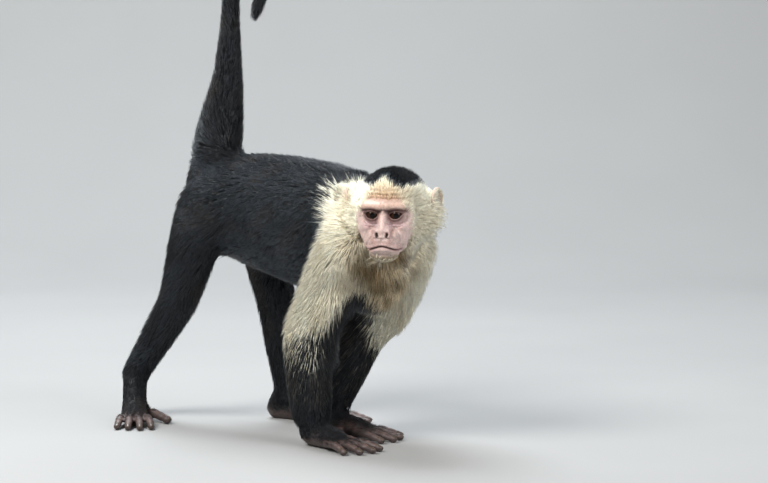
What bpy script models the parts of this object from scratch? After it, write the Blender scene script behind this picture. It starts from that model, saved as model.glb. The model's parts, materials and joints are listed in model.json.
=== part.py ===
"""A white-faced capuchin monkey, life size, standing on all fours and looking over its right shoulder.

The frame is in metres with +Z up. The monkey faces -Y, its left side is +X, and the floor is z = 0.
The forms below are in millimetres from the middle of the body, and give the outline out to the tips of
the coat. They are laid as chains of balls with a hull between each two, fused into one body, and parted
by thin gaps into nodes. At the end each node is shifted, so that the origin is under the box's middle.
"""

import math

import bmesh
import bpy
from mathutils import Matrix, Vector

MM = 0.001

# Driving dimensions, in millimetres
FUSE_VOXEL = 2.5
BODY_TRIANGLES = 3950
PART_GAP = 0.4
TOE_SINK = 2.0  # how far the soles reach under the floor before they are cut flat
ORIGIN_SHIFT = (17.0, 22.0, 0.0)  # from the middle of the body to the middle of the box

HEAD_PLACE = (-9.7, -171.8, 232.0)  # the middle of the head, level with the eyes
HEAD_TURN = math.radians(-54.0)  # to its right
HEAD_NOD = math.radians(3.0)

EYE_RADIUS = 8.2
EYE_PLACE = (11.4, -32.0, 0.0)  # left eye, in the head's own axes
EAR_PLACE = (46.0, 9.0, 8.0)
EAR_HALF = (4.2, 11.5, 14.5)
EAR_FLARE = math.radians(-22.0)  # the rear edge stands off the head

TAIL_FOOT = (0.0, 88.0, 236.0)
TAIL_CROOK = (0.0, 37.0, 490.0)  # centre of the bend at the top
TAIL_CROOK_RADIUS = 24.0
TAIL_TIP = (2.0, 29.0, 410.0)

FINGER_LENGTHS = (36.0, 41.0, 39.0, 31.0)  # from the thumb's side outwards
TOE_LENGTHS = (31.0, 35.0, 33.0, 28.0)
HAND_TURNS = {"left": math.radians(12), "right": math.radians(-4)}  # in plan, from straight ahead
FOOT_TURNS = {"left": math.radians(14), "right": math.radians(-42)}

RIGHT_ARM = {"shoulder": (-42, -139, 197), "elbow": (-51, -99, 110), "wrist": (-46, -101, 28)}
LEFT_ARM = {"shoulder": (48, -144, 188), "elbow": (40, -93, 113), "wrist": (8, -68, 28)}
LEFT_FRINGE = (53, -111, 116)  # where the long coat of the left upper arm ends, before the elbow
RIGHT_LEG = {"hip": (-38, 64, 214), "knee": (-50, 86, 126), "ankle": (-50, 154, 44)}
LEFT_LEG = {"hip": (38, 64, 214), "knee": (42, 42, 122), "ankle": (51, 34, 30)}

COATS = {
    "black_coat": (0.022, 0.022, 0.026),
    "cream_coat": (0.68, 0.60, 0.44),
    "cap_coat": (0.012, 0.011, 0.012),
    "face_skin": (0.62, 0.42, 0.38),
    "dark_skin": (0.045, 0.032, 0.030),
    "eye": (0.035, 0.016, 0.010),
}


# ---------------------------------------------------------------- shapes
def mesh_object(name, shape):
    """A new object with the mesh of this bmesh, which is freed."""
    mesh = bpy.data.meshes.new(name)
    shape.to_mesh(mesh)
    shape.free()
    made = bpy.data.objects.new(name, mesh)
    bpy.context.scene.collection.objects.link(made)
    return made


def ball_matrix(centre, half, frame=None):
    """Places a unit ball with these half sizes in the frame, which may turn it."""
    stretch = Matrix.Diagonal((*(size * MM for size in half), 1.0))
    return (frame or Matrix()) @ Matrix.Translation(Vector(centre) * MM) @ stretch


def hull_of(balls, frame=None, segments=20):
    """The convex hull round a few balls, each a centre and three half sizes."""
    shape = bmesh.new()
    for centre, half in balls:
        place = ball_matrix(centre, half, frame)
        bmesh.ops.create_uvsphere(shape, u_segments=segments, v_segments=segments // 2, radius=1, matrix=place)
    bmesh.ops.delete(shape, geom=shape.faces, context="FACES_ONLY")
    bmesh.ops.delete(shape, geom=shape.edges, context="EDGES_FACES")
    made = bmesh.ops.convex_hull(shape, input=shape.verts)
    inside = {v for v in made["geom_interior"] + made["geom_unused"] if isinstance(v, bmesh.types.BMVert)}
    bmesh.ops.delete(shape, geom=list(inside), context="VERTS")
    bmesh.ops.recalc_face_normals(shape, faces=shape.faces)
    return shape


def add_chain(body, stations, frame=None):
    """Adds a hull between each station and the next to the body."""
    links = [stations] if len(stations) == 1 else zip(stations, stations[1:])
    for link in links:
        hull = hull_of(list(link), frame)
        mesh = bpy.data.meshes.new("link")
        hull.to_mesh(mesh)
        hull.free()
        body.from_mesh(mesh)
        bpy.data.meshes.remove(mesh)


def even(radius):
    return (radius, radius, radius)


def between(start, end, share):
    return tuple(a + (b - a) * share for a, b in zip(start, end))


def head_frame():
    turn = Matrix.Rotation(HEAD_TURN, 4, "Z") @ Matrix.Rotation(HEAD_NOD, 4, "X")
    return Matrix.Translation(Vector(HEAD_PLACE) * MM) @ turn


def both_sides(stations):
    """The stations, and the same ones on the other side of the head."""
    other = [((-x, y, z), half) for (x, y, z), half in stations]
    return stations, other


# ---------------------------------------------------------------- forms of the body
def add_trunk(body):
    add_chain(body, [
        ((0, 76, 222), (50, 25, 41)),
        ((0, 50, 219), (52, 28, 54)),
        ((0, 20, 217), (46, 30, 60)),
        ((0, -30, 212), (50, 30, 65)),
        ((0, -84, 204), (52, 34, 69)),
        ((0, -126, 195), (48, 36, 72)),
        ((0, -146, 184), (38, 38, 60)),
    ])


def add_neck(body):
    add_chain(body, [
        ((0, -122, 221), (46, 34, 40)),
        ((0, -150, 218), (47, 36, 40)),
        ((-2, -166, 220), (44, 34, 38)),
    ])


def add_head(body):
    frame = head_frame()
    add_chain(body, [((3, 7, 9), (36, 44, 34)), ((4, -10, 13), (28, 30, 28))], frame)
    add_chain(body, [((0, -24, -8), (25, 14, 21))], frame)
    add_chain(body, [((0, -20, -24), (22, 20, 18)), ((0, -38, -27), (16, 15, 14))], frame)
    add_chain(body, [((0, -33, 5), (6, 7, 6)), ((0, -46, -15), (9, 7, 7))], frame)
    add_chain(body, [((0, -42, -22), (17, 14, 12))], frame)
    add_chain(body, [((0, -38, -37), (12, 11, 9))], frame)
    for side in both_sides([((4, -33, 11), (8, 10, 6)), ((20, -29, 9), (9, 10, 6))]):
        add_chain(body, side, frame)
    for side in both_sides([((19, -26, -14), (10, 12, 9)), ((27, -8, -10), (13, 14, 20))]):
        add_chain(body, side, frame)
    for side in both_sides([((28, 2, -3), (20, 22, 24)), ((39, 8, -11), (21, 20, 22))]):
        add_chain(body, side, frame)
    for side in both_sides([((12, 2, -25), (22, 26, 20))]):
        add_chain(body, side, frame)


def ear_frame(side):
    """The ear's own axes on one side of the head: X outwards, Y back and Z up."""
    place = Vector((side * EAR_PLACE[0], EAR_PLACE[1], EAR_PLACE[2])) * MM
    return head_frame() @ Matrix.Translation(place) @ Matrix.Rotation(side * EAR_FLARE, 4, "Z")


def add_ear(body, side):
    frame = ear_frame(side)
    add_chain(body, [((0, 0, 0), EAR_HALF), ((-4 * side, -3, -3), (4, 8, 9))], frame)


def add_arm(body, arm):
    shoulder, elbow, wrist = (arm[joint] for joint in ("shoulder", "elbow", "wrist"))
    add_chain(body, [
        (shoulder, (27, 32, 36)),
        (between(shoulder, elbow, 0.55), (26, 29, 29)),
        (elbow, (25, 27, 27)),
        (between(elbow, wrist, 0.35), (24, 26, 25)),
        (between(elbow, wrist, 0.75), (22, 25, 21)),
        (wrist, (20, 22, 16)),
    ])


def add_fringe(body, shoulder, end):
    """The long coat that hangs from the shoulder in front of an elbow that is drawn back."""
    add_chain(body, [(shoulder, (27, 32, 36)), (between(shoulder, end, 0.5), (25, 30, 31)), (end, (19, 21, 22))])


def add_leg(body, leg):
    hip, knee, ankle = (leg[joint] for joint in ("hip", "knee", "ankle"))
    add_chain(body, [
        (hip, (23, 35, 38)),
        (between(hip, knee, 0.5), (23, 31, 30)),
        (knee, (21, 23, 23)),
        (between(knee, ankle, 0.4), (19, 21, 21)),
        (between(knee, ankle, 0.8), (16, 17, 17)),
        (ankle, (15, 16, 15)),
    ])


def along(place, heading, reach, lift):
    """A point at this reach from a place, in plan, with its height given."""
    return (place[0] + math.sin(heading) * reach, place[1] - math.cos(heading) * reach, lift)


def add_digit(body, root, heading, length, radius):
    """A finger or toe that arches a little and rests on its tip."""
    knuckle, middle, tip = (along(root, heading, length * share, 0) for share in (0.0, 0.5, 1.0))
    add_chain(body, [
        ((*knuckle[:2], radius + 3.5), even(radius + 1.0)),
        ((*middle[:2], radius + 3.0), even(radius)),
        ((*tip[:2], radius - TOE_SINK), even(radius - 0.4)),
    ])


def add_hand(body, wrist, heading, side):
    """A hand flat on the floor. Its thumb is on the inner side."""
    heel = along(wrist, heading, 4, 12)
    palm = along(wrist, heading, 34, 9)
    add_chain(body, [
        (wrist, (16, 16, 14)),
        (heel, (16, 15, 12 + TOE_SINK)),
        (palm, (17, 12, 9 + TOE_SINK)),
    ])
    for number, length in enumerate(FINGER_LENGTHS):
        spread = (number - 1.5) * side
        root = along(along(wrist, heading, 42, 0), heading + math.radians(90), spread * 9.3, 0)
        add_digit(body, root, heading + math.radians(7.5) * spread, length, 4.6)
    thumb = along(along(wrist, heading, 14, 0), heading + math.radians(90), -13 * side, 0)
    add_digit(body, thumb, heading - math.radians(34) * side, 27, 5.2)


def add_foot(body, ankle, heading, side, heel_lift):
    """A foot on the floor. Its big toe stands off on the inner side."""
    heel = along(ankle, heading, -14, 11 + heel_lift)
    arch = along(ankle, heading, 26, 12 + heel_lift * 0.6)
    ball = along(ankle, heading, 52, 8)
    sink = TOE_SINK if heel_lift == 0 else 0
    add_chain(body, [(ankle, (14, 14, 14)), (heel, (11, 10, 11 + sink))])
    add_chain(body, [(ankle, (13, 13, 13)), (arch, (13, 13, 12 + sink)), (ball, (15.5, 12, 8 + TOE_SINK))])
    add_chain(body, [(heel, (11, 10, 11 + sink)), (arch, (12, 12, 12 + sink))])
    for number, length in enumerate(TOE_LENGTHS):
        spread = (number - 1.5) * side
        root = along(along(ankle, heading, 58, 0), heading + math.radians(90), spread * 8.7, 0)
        add_digit(body, root, heading + math.radians(5.0) * spread, length, 4.6)
    big = along(along(ankle, heading, 24, 0), heading + math.radians(90), -11 * side, 0)
    add_digit(body, big, heading - math.radians(42) * side, 34, 5.8)


def tail_path():
    """Centres and radii from the rump, up the shaft, over the crook and down to the tip."""
    crook, radius = TAIL_CROOK, TAIL_CROOK_RADIUS
    path = [(TAIL_FOOT, 31.0), ((0, 83, 274), 28.5), ((0, 76, 305), 24.5), ((0, 67, 345), 18.0)]
    path += [((0, 64, 385), 13.0), ((0, 61.5, 425), 11.0), ((0, 61, 465), 10.5)]
    for step in range(7):
        angle = math.pi * step / 6
        place = (crook[0], crook[1] + radius * math.cos(angle), crook[2] + radius * math.sin(angle))
        path.append((place, 10.3))
    path += [((1, 12, 464), 10.2), ((2, 17, 436), 9.8), (TAIL_TIP, 8.5)]
    return path


def add_tail(body):
    add_chain(body, [(place, even(radius)) for place, radius in tail_path()])


# ---------------------------------------------------------------- one fused body
def applied(thing, name):
    """The object as its modifiers leave it, as a new plain mesh object in place of the old one."""
    bpy.context.view_layer.update()
    evaluated = thing.evaluated_get(bpy.context.evaluated_depsgraph_get())
    mesh = bpy.data.meshes.new_from_object(evaluated)
    bpy.data.objects.remove(thing)
    made = bpy.data.objects.new(name, mesh)
    bpy.context.scene.collection.objects.link(made)
    return made


def whole_body():
    body = bmesh.new()
    add_trunk(body)
    add_neck(body)
    add_head(body)
    add_ear(body, 1)
    add_ear(body, -1)
    add_arm(body, RIGHT_ARM)
    add_arm(body, LEFT_ARM)
    add_fringe(body, LEFT_ARM["shoulder"], LEFT_FRINGE)
    add_leg(body, RIGHT_LEG)
    add_leg(body, LEFT_LEG)
    add_hand(body, RIGHT_ARM["wrist"], HAND_TURNS["right"], -1)
    add_hand(body, LEFT_ARM["wrist"], HAND_TURNS["left"], 1)
    add_foot(body, RIGHT_LEG["ankle"], FOOT_TURNS["right"], -1, heel_lift=12)
    add_foot(body, LEFT_LEG["ankle"], FOOT_TURNS["left"], 1, heel_lift=0)
    add_tail(body)
    made = mesh_object("forms", body)
    fuse = made.modifiers.new("fuse", "REMESH")
    fuse.mode = "VOXEL"
    fuse.voxel_size = FUSE_VOXEL * MM
    soften = made.modifiers.new("soften", "SMOOTH")
    soften.factor = 0.5
    soften.iterations = 7
    made = applied(made, "forms")
    thin = made.modifiers.new("thin", "DECIMATE")
    thin.ratio = BODY_TRIANGLES / (2 * len(made.data.polygons))
    made = applied(made, "monkey")
    return cut_soles(made)


def cut_soles(body):
    """Cuts the soles and palms flat at the floor."""
    shape = bmesh.new()
    shape.from_mesh(body.data)
    everything = shape.verts[:] + shape.edges[:] + shape.faces[:]
    cut = bmesh.ops.bisect_plane(
        shape, geom=everything, dist=1e-6, plane_co=(0, 0, 0), plane_no=(0, 0, -1), clear_outer=True
    )
    rim = [edge for edge in cut["geom_cut"] if isinstance(edge, bmesh.types.BMEdge)]
    bmesh.ops.holes_fill(shape, edges=rim, sides=0)
    bmesh.ops.triangulate(shape, faces=shape.faces)
    bmesh.ops.recalc_face_normals(shape, faces=shape.faces)
    shape.to_mesh(body.data)
    shape.free()
    return body


# ---------------------------------------------------------------- cells that part the body
def barrel_cell(balls, frame=None):
    def cell(grow):
        return hull_of([(centre, [size + grow for size in half]) for centre, half in balls], frame, segments=12)

    return cell


def box_cell(low, high, frame=None):
    def cell(grow):
        shape = bmesh.new()
        centre = [(a + b) / 2 for a, b in zip(low, high)]
        half = [(b - a) / 2 + grow for a, b in zip(low, high)]
        bmesh.ops.create_cube(shape, size=2, matrix=ball_matrix(centre, half, frame))
        return shape

    return cell


def rod_cell(start, end, radius, before=0.0, after=0.0, aside=0.0):
    """A rod from start to end, with flat ends, which can run past either end and stand aside along X."""
    first, last = Vector(start), Vector(end)
    axis = (last - first).normalized()
    shift = Vector((aside, 0, 0))

    def cell(grow):
        low = first - axis * (before + grow) + shift
        high = last + axis * (after + grow) + shift
        shape = bmesh.new()
        turn = axis.to_track_quat("Z", "Y").to_matrix().to_4x4()
        place = Matrix.Translation((low + high) / 2 * MM) @ turn
        bmesh.ops.create_cone(
            shape, cap_ends=True, segments=20, matrix=place,
            radius1=(radius + grow) * MM, radius2=(radius + grow) * MM, depth=(high - low).length * MM,
        )
        return shape

    return cell


def body_cells():
    """Name, coat and cell of each node, in the order in which they are taken off the body."""
    head = head_frame()
    cap = head @ Matrix.Translation(Vector((0, -36, 34)) * MM) @ Matrix.Rotation(math.radians(-14), 4, "X")
    far, wide = 200, 90
    cells = []
    for side, word in ((1, "left"), (-1, "right")):
        reach = sorted((side * 1.2, side * 9))
        cells.append((f"ear_{word}", "face_skin", box_cell((reach[0], -14, -18), (reach[1], 18, 22), ear_frame(side))))
    cells += [
        ("cap", "cap_coat", box_cell((-44, -30, 0), (44, 88, 30), cap)),
        ("muzzle", "face_skin", box_cell((-21, -90, -47), (21, -36, -7), head)),
        ("head", "cream_coat", barrel_cell([((0, 0, 25), (62, 58, 40)), ((0, 0, -26), (66, 62, 25))], head)),
    ]
    for side, word, arm in ((1, "left", LEFT_ARM), (-1, "right", RIGHT_ARM)):
        shoulder, elbow, wrist = (arm[joint] for joint in ("shoulder", "elbow", "wrist"))
        palm = Matrix.Translation(Vector(wrist) * MM) @ Matrix.Rotation(HAND_TURNS[word], 4, "Z")
        low, high = sorted((-35 * side, 32 * side))
        sleeve = [
            ((elbow[0] + 8 * side, elbow[1], elbow[2]), (35, 44, 38)),
            ((shoulder[0] + 22 * side, shoulder[1], shoulder[2]), (38, 66, 46)),
        ]
        cells += [
            (f"hand_{word}", "dark_skin", box_cell((low, -120, -40), (high, 30, -4), palm)),
            (f"forearm_{word}", "black_coat", rod_cell(wrist, elbow, 36, before=30)),
            (f"upper_arm_{word}", "cream_coat", barrel_cell(sleeve)),
        ]
    for side, word, leg, foot in (
        (1, "left", LEFT_LEG, (16, -72, 100, 72)), (-1, "right", RIGHT_LEG, (-150, 50, -14, 190)),
    ):
        hip, knee, ankle = (leg[joint] for joint in ("hip", "knee", "ankle"))
        cells += [
            (f"foot_{word}", "dark_skin", box_cell((foot[0], foot[1], -9), (foot[2], foot[3], ankle[2]))),
            (f"shank_{word}", "black_coat", rod_cell(ankle, knee, 34, before=30)),
            (f"thigh_{word}", "black_coat", rod_cell(knee, hip, 44, before=36, aside=side * 10)),
        ]
    crook = TAIL_CROOK
    low_tail, mid_tail, high_tail = (0, 76, 305), (0, 64, 385), (0, 61, 465)
    cells += [
        ("tail_crook", "black_coat", box_cell((-wide, -30, crook[2] - 34), (wide, 120, far * 3))),
        ("tail_tip", "black_coat", rod_cell(TAIL_TIP, (1, 12, 464), 16, before=14, after=20)),
        ("tail_upper", "black_coat", rod_cell(mid_tail, high_tail, 17, after=20)),
        ("tail_middle", "black_coat", rod_cell(low_tail, mid_tail, 34, after=10)),
        ("tail_base", "black_coat", rod_cell((0, 86, 262), low_tail, 46, after=10)),
        ("neck", "cream_coat", box_cell((-wide, -far * 2, 190), (wide, -106, far * 2))),
        ("chest", "cream_coat", box_cell((-wide, -far * 2, -9), (wide, -112, far * 2))),
        ("ribcage", "black_coat", box_cell((-wide, -130, -9), (wide, -46, far * 2))),
        ("belly", "black_coat", box_cell((-wide, -70, -9), (wide, 28, far * 2))),
        ("pelvis", "black_coat", box_cell((-wide, 0, -9), (wide, far, far * 2))),
    ]
    return cells


def cut_by(body, cell, operation, name):
    """A copy of the body after this Boolean with the cell."""
    cutter = mesh_object("cutter", cell)
    made = bpy.data.objects.new(name, body.data.copy())
    bpy.context.scene.collection.objects.link(made)
    boolean = made.modifiers.new("part", "BOOLEAN")
    boolean.operation = operation
    boolean.object = cutter
    made = applied(made, name)
    bpy.data.objects.remove(cutter)
    return made


def without(body, cell):
    """The body with the cell cut from it, in place of the old one."""
    rest = cut_by(body, cell, "DIFFERENCE", "monkey")
    bpy.data.objects.remove(body)
    return rest


def islands(shape):
    """Groups of vertices that hang together."""
    left = set(shape.verts)
    groups = []
    while left:
        edge = [left.pop()]
        group = set(edge)
        while edge:
            vertex = edge.pop()
            for link in vertex.link_edges:
                other = link.other_vert(vertex)
                if other in left:
                    left.remove(other)
                    group.add(other)
                    edge.append(other)
        groups.append(group)
    return sorted(groups, key=len, reverse=True)


def keep_largest(thing):
    """Removes crumbs that a cell left beside the node."""
    shape = bmesh.new()
    shape.from_mesh(thing.data)
    groups = islands(shape)
    for crumb in groups[1:]:
        span = [max(v.co[i] for v in crumb) - min(v.co[i] for v in crumb) for i in range(3)]
        middle = [round(sum(v.co[i] for v in crumb) / len(crumb) / MM) for i in range(3)]
        print(f"{thing.name}: a crumb {max(span) / MM:.1f} mm across at {middle} is left out")
        bmesh.ops.delete(shape, geom=list(crumb), context="VERTS")
    bmesh.ops.remove_doubles(shape, verts=shape.verts, dist=0.02 * MM)
    shape.to_mesh(thing.data)
    shape.free()


def coat_material(name):
    made = bpy.data.materials.new(name)
    made.use_nodes = True
    shader = made.node_tree.nodes["Principled BSDF"]
    shader.inputs["Base Color"].default_value = (*COATS[name], 1.0)
    shader.inputs["Roughness"].default_value = 0.12 if name == "eye" else 0.8
    shader.inputs["Metallic"].default_value = 0.0
    return made


def finish(thing, coat, collection):
    for holder in list(thing.users_collection):
        holder.objects.unlink(thing)
    collection.objects.link(thing)
    thing.data.transform(Matrix.Translation(Vector(ORIGIN_SHIFT) * MM))
    thing.data.materials.clear()
    thing.data.materials.append(coat)
    thing.data.shade_smooth()
    thing.data.set_sharp_from_angle(angle=math.radians(50))


def eye_ball(side, radius):
    shape = bmesh.new()
    place = (side * EYE_PLACE[0], EYE_PLACE[1], EYE_PLACE[2])
    matrix = ball_matrix(place, even(radius), head_frame())
    bmesh.ops.create_icosphere(shape, subdivisions=2, radius=1, matrix=matrix)
    return shape


def main():
    for thing in list(bpy.data.objects):
        bpy.data.objects.remove(thing)
    collection = bpy.data.collections.new("capuchin_monkey")
    bpy.context.scene.collection.children.link(collection)
    coats = {name: coat_material(name) for name in COATS}
    body = whole_body()
    for side, word in ((1, "left"), (-1, "right")):
        body = without(body, eye_ball(side, EYE_RADIUS + PART_GAP))
        finish(mesh_object(f"eye_{word}", eye_ball(side, EYE_RADIUS)), coats["eye"], collection)
    for name, coat, cell in body_cells():
        piece = cut_by(body, cell(0), "INTERSECT", name)
        keep_largest(piece)
        finish(piece, coats[coat], collection)
        body = without(body, cell(PART_GAP))
    print(f"left over: {len(body.data.polygons)} faces")
    bpy.data.objects.remove(body)


main()
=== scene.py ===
# %% [markdown]
# # A white-faced capuchin monkey, life size
# The model stands on all fours and looks over its right shoulder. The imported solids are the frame: they
# give the outline out to the tips of the coat. Inside them this lesson builds one skin without a seam,
# carves the face, sets the eyes and nails, and then lays a coat of mesh locks that ends at the solids.

# %% Load the frame
import json
import math

import bmesh
import bpy
import numpy as np
from mathutils import Matrix, Vector
from mathutils.bvhtree import BVHTree
from mathutils.kdtree import KDTree

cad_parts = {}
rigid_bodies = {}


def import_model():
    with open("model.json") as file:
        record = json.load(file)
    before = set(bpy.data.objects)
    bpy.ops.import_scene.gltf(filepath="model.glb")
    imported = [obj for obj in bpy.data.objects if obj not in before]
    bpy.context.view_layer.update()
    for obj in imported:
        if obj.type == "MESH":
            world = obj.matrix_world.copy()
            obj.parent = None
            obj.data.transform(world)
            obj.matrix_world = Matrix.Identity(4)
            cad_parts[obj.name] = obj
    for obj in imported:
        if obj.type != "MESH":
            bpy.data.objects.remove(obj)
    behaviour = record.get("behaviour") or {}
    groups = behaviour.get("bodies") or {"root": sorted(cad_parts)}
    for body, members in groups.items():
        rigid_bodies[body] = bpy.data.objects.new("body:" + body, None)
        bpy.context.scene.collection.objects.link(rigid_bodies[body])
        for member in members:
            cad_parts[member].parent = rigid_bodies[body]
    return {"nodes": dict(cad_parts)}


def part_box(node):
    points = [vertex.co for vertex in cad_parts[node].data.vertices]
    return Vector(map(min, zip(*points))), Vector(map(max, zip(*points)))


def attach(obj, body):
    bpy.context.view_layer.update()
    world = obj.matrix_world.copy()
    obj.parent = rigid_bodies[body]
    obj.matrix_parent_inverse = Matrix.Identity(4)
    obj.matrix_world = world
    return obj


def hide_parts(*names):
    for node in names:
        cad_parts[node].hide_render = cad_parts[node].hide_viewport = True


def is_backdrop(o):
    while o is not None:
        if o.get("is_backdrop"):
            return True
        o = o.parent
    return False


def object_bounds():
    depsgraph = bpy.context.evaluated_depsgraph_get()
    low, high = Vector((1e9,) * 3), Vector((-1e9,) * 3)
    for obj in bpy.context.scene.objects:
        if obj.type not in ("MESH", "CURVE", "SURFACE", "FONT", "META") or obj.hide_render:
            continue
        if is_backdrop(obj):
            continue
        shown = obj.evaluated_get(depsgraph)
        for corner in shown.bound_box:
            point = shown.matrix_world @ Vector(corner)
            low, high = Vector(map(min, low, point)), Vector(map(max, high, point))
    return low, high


for leftover in list(bpy.data.objects):
    bpy.data.objects.remove(leftover)
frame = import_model()
CAD_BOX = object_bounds()
MM = 0.001
print("frame:", len(frame["nodes"]), "nodes, from", CAD_BOX[0][:], "to", CAD_BOX[1][:])

# %% [markdown]
# ## Landmarks
# An artist who dresses a manikin first finds its joints. Two neighbouring nodes face each other across a
# thin cut, so the corners of one that lie close to the other form a ring, and the ring's middle is the
# joint.

# %% Joints, from the cuts between the nodes
CUT_REACH = 1.5 * MM  # corners this near a neighbour lie on the cut


def numbers(rows, attribute, width, kind=np.float32):
    """One attribute of a mesh's vertices, edges, corners or faces, as an array."""
    flat = np.empty(len(rows) * width, kind)
    rows.foreach_get(attribute, flat)
    return flat.reshape(-1, width)


def corners(node):
    return numbers(frame["nodes"][node].data.vertices, "co", 3).astype(float)


def joint(node, neighbour):
    """The middle of the ring where a node faces its neighbour."""
    tree = KDTree(len(corners(neighbour)))
    for index, place in enumerate(corners(neighbour)):
        tree.insert(place, index)
    tree.balance()
    ring = [place for place in corners(node) if tree.find(place)[2] < CUT_REACH]
    return np.mean(ring, axis=0)


SHOULDER_FROM = 0.45  # the share of an upper arm's corners that lie below its shoulder
JOINTS = {}
for side in ("left", "right"):
    JOINTS["elbow_" + side] = joint("upper_arm_" + side, "forearm_" + side)
    JOINTS["wrist_" + side] = joint("forearm_" + side, "hand_" + side)
    JOINTS["hip_" + side] = joint("thigh_" + side, "pelvis")
    JOINTS["knee_" + side] = joint("thigh_" + side, "shank_" + side)
    JOINTS["ankle_" + side] = joint("shank_" + side, "foot_" + side)
    arm = corners("upper_arm_" + side)
    top = arm[arm[:, 2] > np.quantile(arm[:, 2], SHOULDER_FROM)]
    JOINTS["shoulder_" + side] = top.mean(axis=0)
TAIL_NODES = ("pelvis", "tail_base", "tail_middle", "tail_upper", "tail_crook", "tail_tip")
TAIL = [joint(b, a) for a, b in zip(TAIL_NODES, TAIL_NODES[1:])]
tip = corners("tail_tip")
TAIL.append(tip[tip[:, 2].argmin()])
for name in sorted(JOINTS):
    print(name, np.round(JOINTS[name] / MM, 1).tolist())
print("tail", [np.round(place / MM, 1).tolist() for place in TAIL])

# %% [markdown]
# The eyes give the head's own axes: X to its left, Y to its back and Z to its crown. Everything on the
# head is then placed in millimetres along these axes, as if the monkey looked straight ahead.

# %% The head's own axes
HEAD_NOD = math.radians(3)
EYE_FORWARD = 32.0  # mm from the middle of the head to the eyes


def middle(node):
    low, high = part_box(node)
    return np.array((low + high) / 2)


eyes = {side: middle("eye_" + side) for side in ("left", "right")}
across = Vector(eyes["left"] - eyes["right"]).normalized()
head_turn = math.atan2(across.y, across.x)
HEAD = Matrix.Translation(Vector((eyes["left"] + eyes["right"]) / 2))
HEAD = HEAD @ Matrix.Rotation(head_turn, 4, "Z") @ Matrix.Rotation(HEAD_NOD, 4, "X")
HEAD = HEAD @ Matrix.Translation((0, EYE_FORWARD * MM, 0))
HEAD_AXES = np.array(HEAD.to_3x3())
HEAD_MIDDLE = np.array(HEAD.translation)
EYE_ASIDE = (eyes["left"] - eyes["right"]) @ HEAD_AXES[:, 0] / 2 / MM
EYE_RADIUS = (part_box("eye_left")[1].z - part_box("eye_left")[0].z) / 2 / MM


def to_head(places):
    """Places in the head's own axes, in millimetres."""
    return (places - HEAD_MIDDLE) @ HEAD_AXES / MM


def from_head(places):
    return places * MM @ HEAD_AXES.T + HEAD_MIDDLE


print(f"head turned {math.degrees(head_turn):.1f} degrees, eyes {EYE_ASIDE:.1f} mm aside")

# %% [markdown]
# ## The envelope
# The coat's tips end on one surface: the solids joined. A voxel remesh closes the thin cuts between the
# nodes, and a little smoothing takes off the facets. It is a guide that never shows.

# %% Join the solids into the envelope
def mesh_object(name, shape):
    mesh = bpy.data.meshes.new(name)
    shape.to_mesh(mesh)
    shape.free()
    made = bpy.data.objects.new(name, mesh)
    bpy.context.scene.collection.objects.link(made)
    return made


def applied(thing):
    """The thing with its modifiers applied, as a plain mesh under the same name."""
    graph = bpy.context.evaluated_depsgraph_get()
    mesh = bpy.data.meshes.new_from_object(thing.evaluated_get(graph))
    name = thing.name
    bpy.data.objects.remove(thing)
    made = bpy.data.objects.new(name, mesh)
    bpy.context.scene.collection.objects.link(made)
    return made


def remeshed(thing, voxel, rounds):
    """The thing fused by a voxel remesh, in mm, and smoothed."""
    fuse = thing.modifiers.new("fuse", "REMESH")
    fuse.mode = "VOXEL"
    fuse.voxel_size = voxel * MM
    soften = thing.modifiers.new("soften", "SMOOTH")
    soften.factor = 0.5
    soften.iterations = rounds
    return applied(thing)


def joined_nodes(name):
    """A copy of all the solids in one mesh, with each solid's loose triangles merged."""
    shape = bmesh.new()
    for node in frame["nodes"].values():
        shape.from_mesh(node.data)
    bmesh.ops.remove_doubles(shape, verts=shape.verts, dist=0.01 * MM)
    return mesh_object(name, shape)


def places_of(thing):
    return numbers(thing.data.vertices, "co", 3).astype(float)


def normals_of(thing):
    return numbers(thing.data.vertex_normals, "vector", 3).astype(float)


def move_to(thing, places):
    thing.data.vertices.foreach_set("co", places.astype(np.float32).ravel())
    thing.data.update()


def tree_of(thing):
    """A search tree over the thing's triangles, and the triangles' own corners."""
    thing.data.calc_loop_triangles()
    faces = numbers(thing.data.loop_triangles, "vertices", 3, np.int32)
    return BVHTree.FromPolygons(places_of(thing).tolist(), faces.tolist()), faces


ENVELOPE_VOXEL = 3.0  # mm
SMOOTHING = 6
envelope = remeshed(joined_nodes("envelope"), ENVELOPE_VOXEL, SMOOTHING)
envelope_tree, _ = tree_of(envelope)
print("envelope:", len(envelope.data.polygons), "faces")

# %% [markdown]
# ## One skin under the coat
# The body's skin is the envelope pushed in by the depth of the coat, which is long on the mantle and
# short on the limbs. The head, hands and feet have their own bare forms. Balls and tapered limbs could be
# sculpted by hand, but chains of balls with a hull between each two can be written down and changed. A
# fine voxel remesh fuses them all, so that no seam is left.

# %% Chains of balls
BALL_SEGMENTS = 18


def hull_of(balls, axes):
    """The convex hull round a few balls, each a centre and three half sizes in millimetres."""
    shape = bmesh.new()
    for centre, half in balls:
        size = Matrix.Diagonal((*(reach * MM for reach in half), 1.0))
        place = axes @ (Matrix.Translation(Vector(centre) * MM) @ size)
        bmesh.ops.create_uvsphere(
            shape, u_segments=BALL_SEGMENTS, v_segments=BALL_SEGMENTS // 2, radius=1, matrix=place
        )
    bmesh.ops.delete(shape, geom=shape.faces, context="FACES_ONLY")
    bmesh.ops.delete(shape, geom=shape.edges, context="EDGES_FACES")
    made = bmesh.ops.convex_hull(shape, input=shape.verts)
    inner = made["geom_interior"] + made["geom_unused"]
    spare = {item for item in inner if isinstance(item, bmesh.types.BMVert)}
    bmesh.ops.delete(shape, geom=list(spare), context="VERTS")
    bmesh.ops.recalc_face_normals(shape, faces=shape.faces)
    return shape


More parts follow.
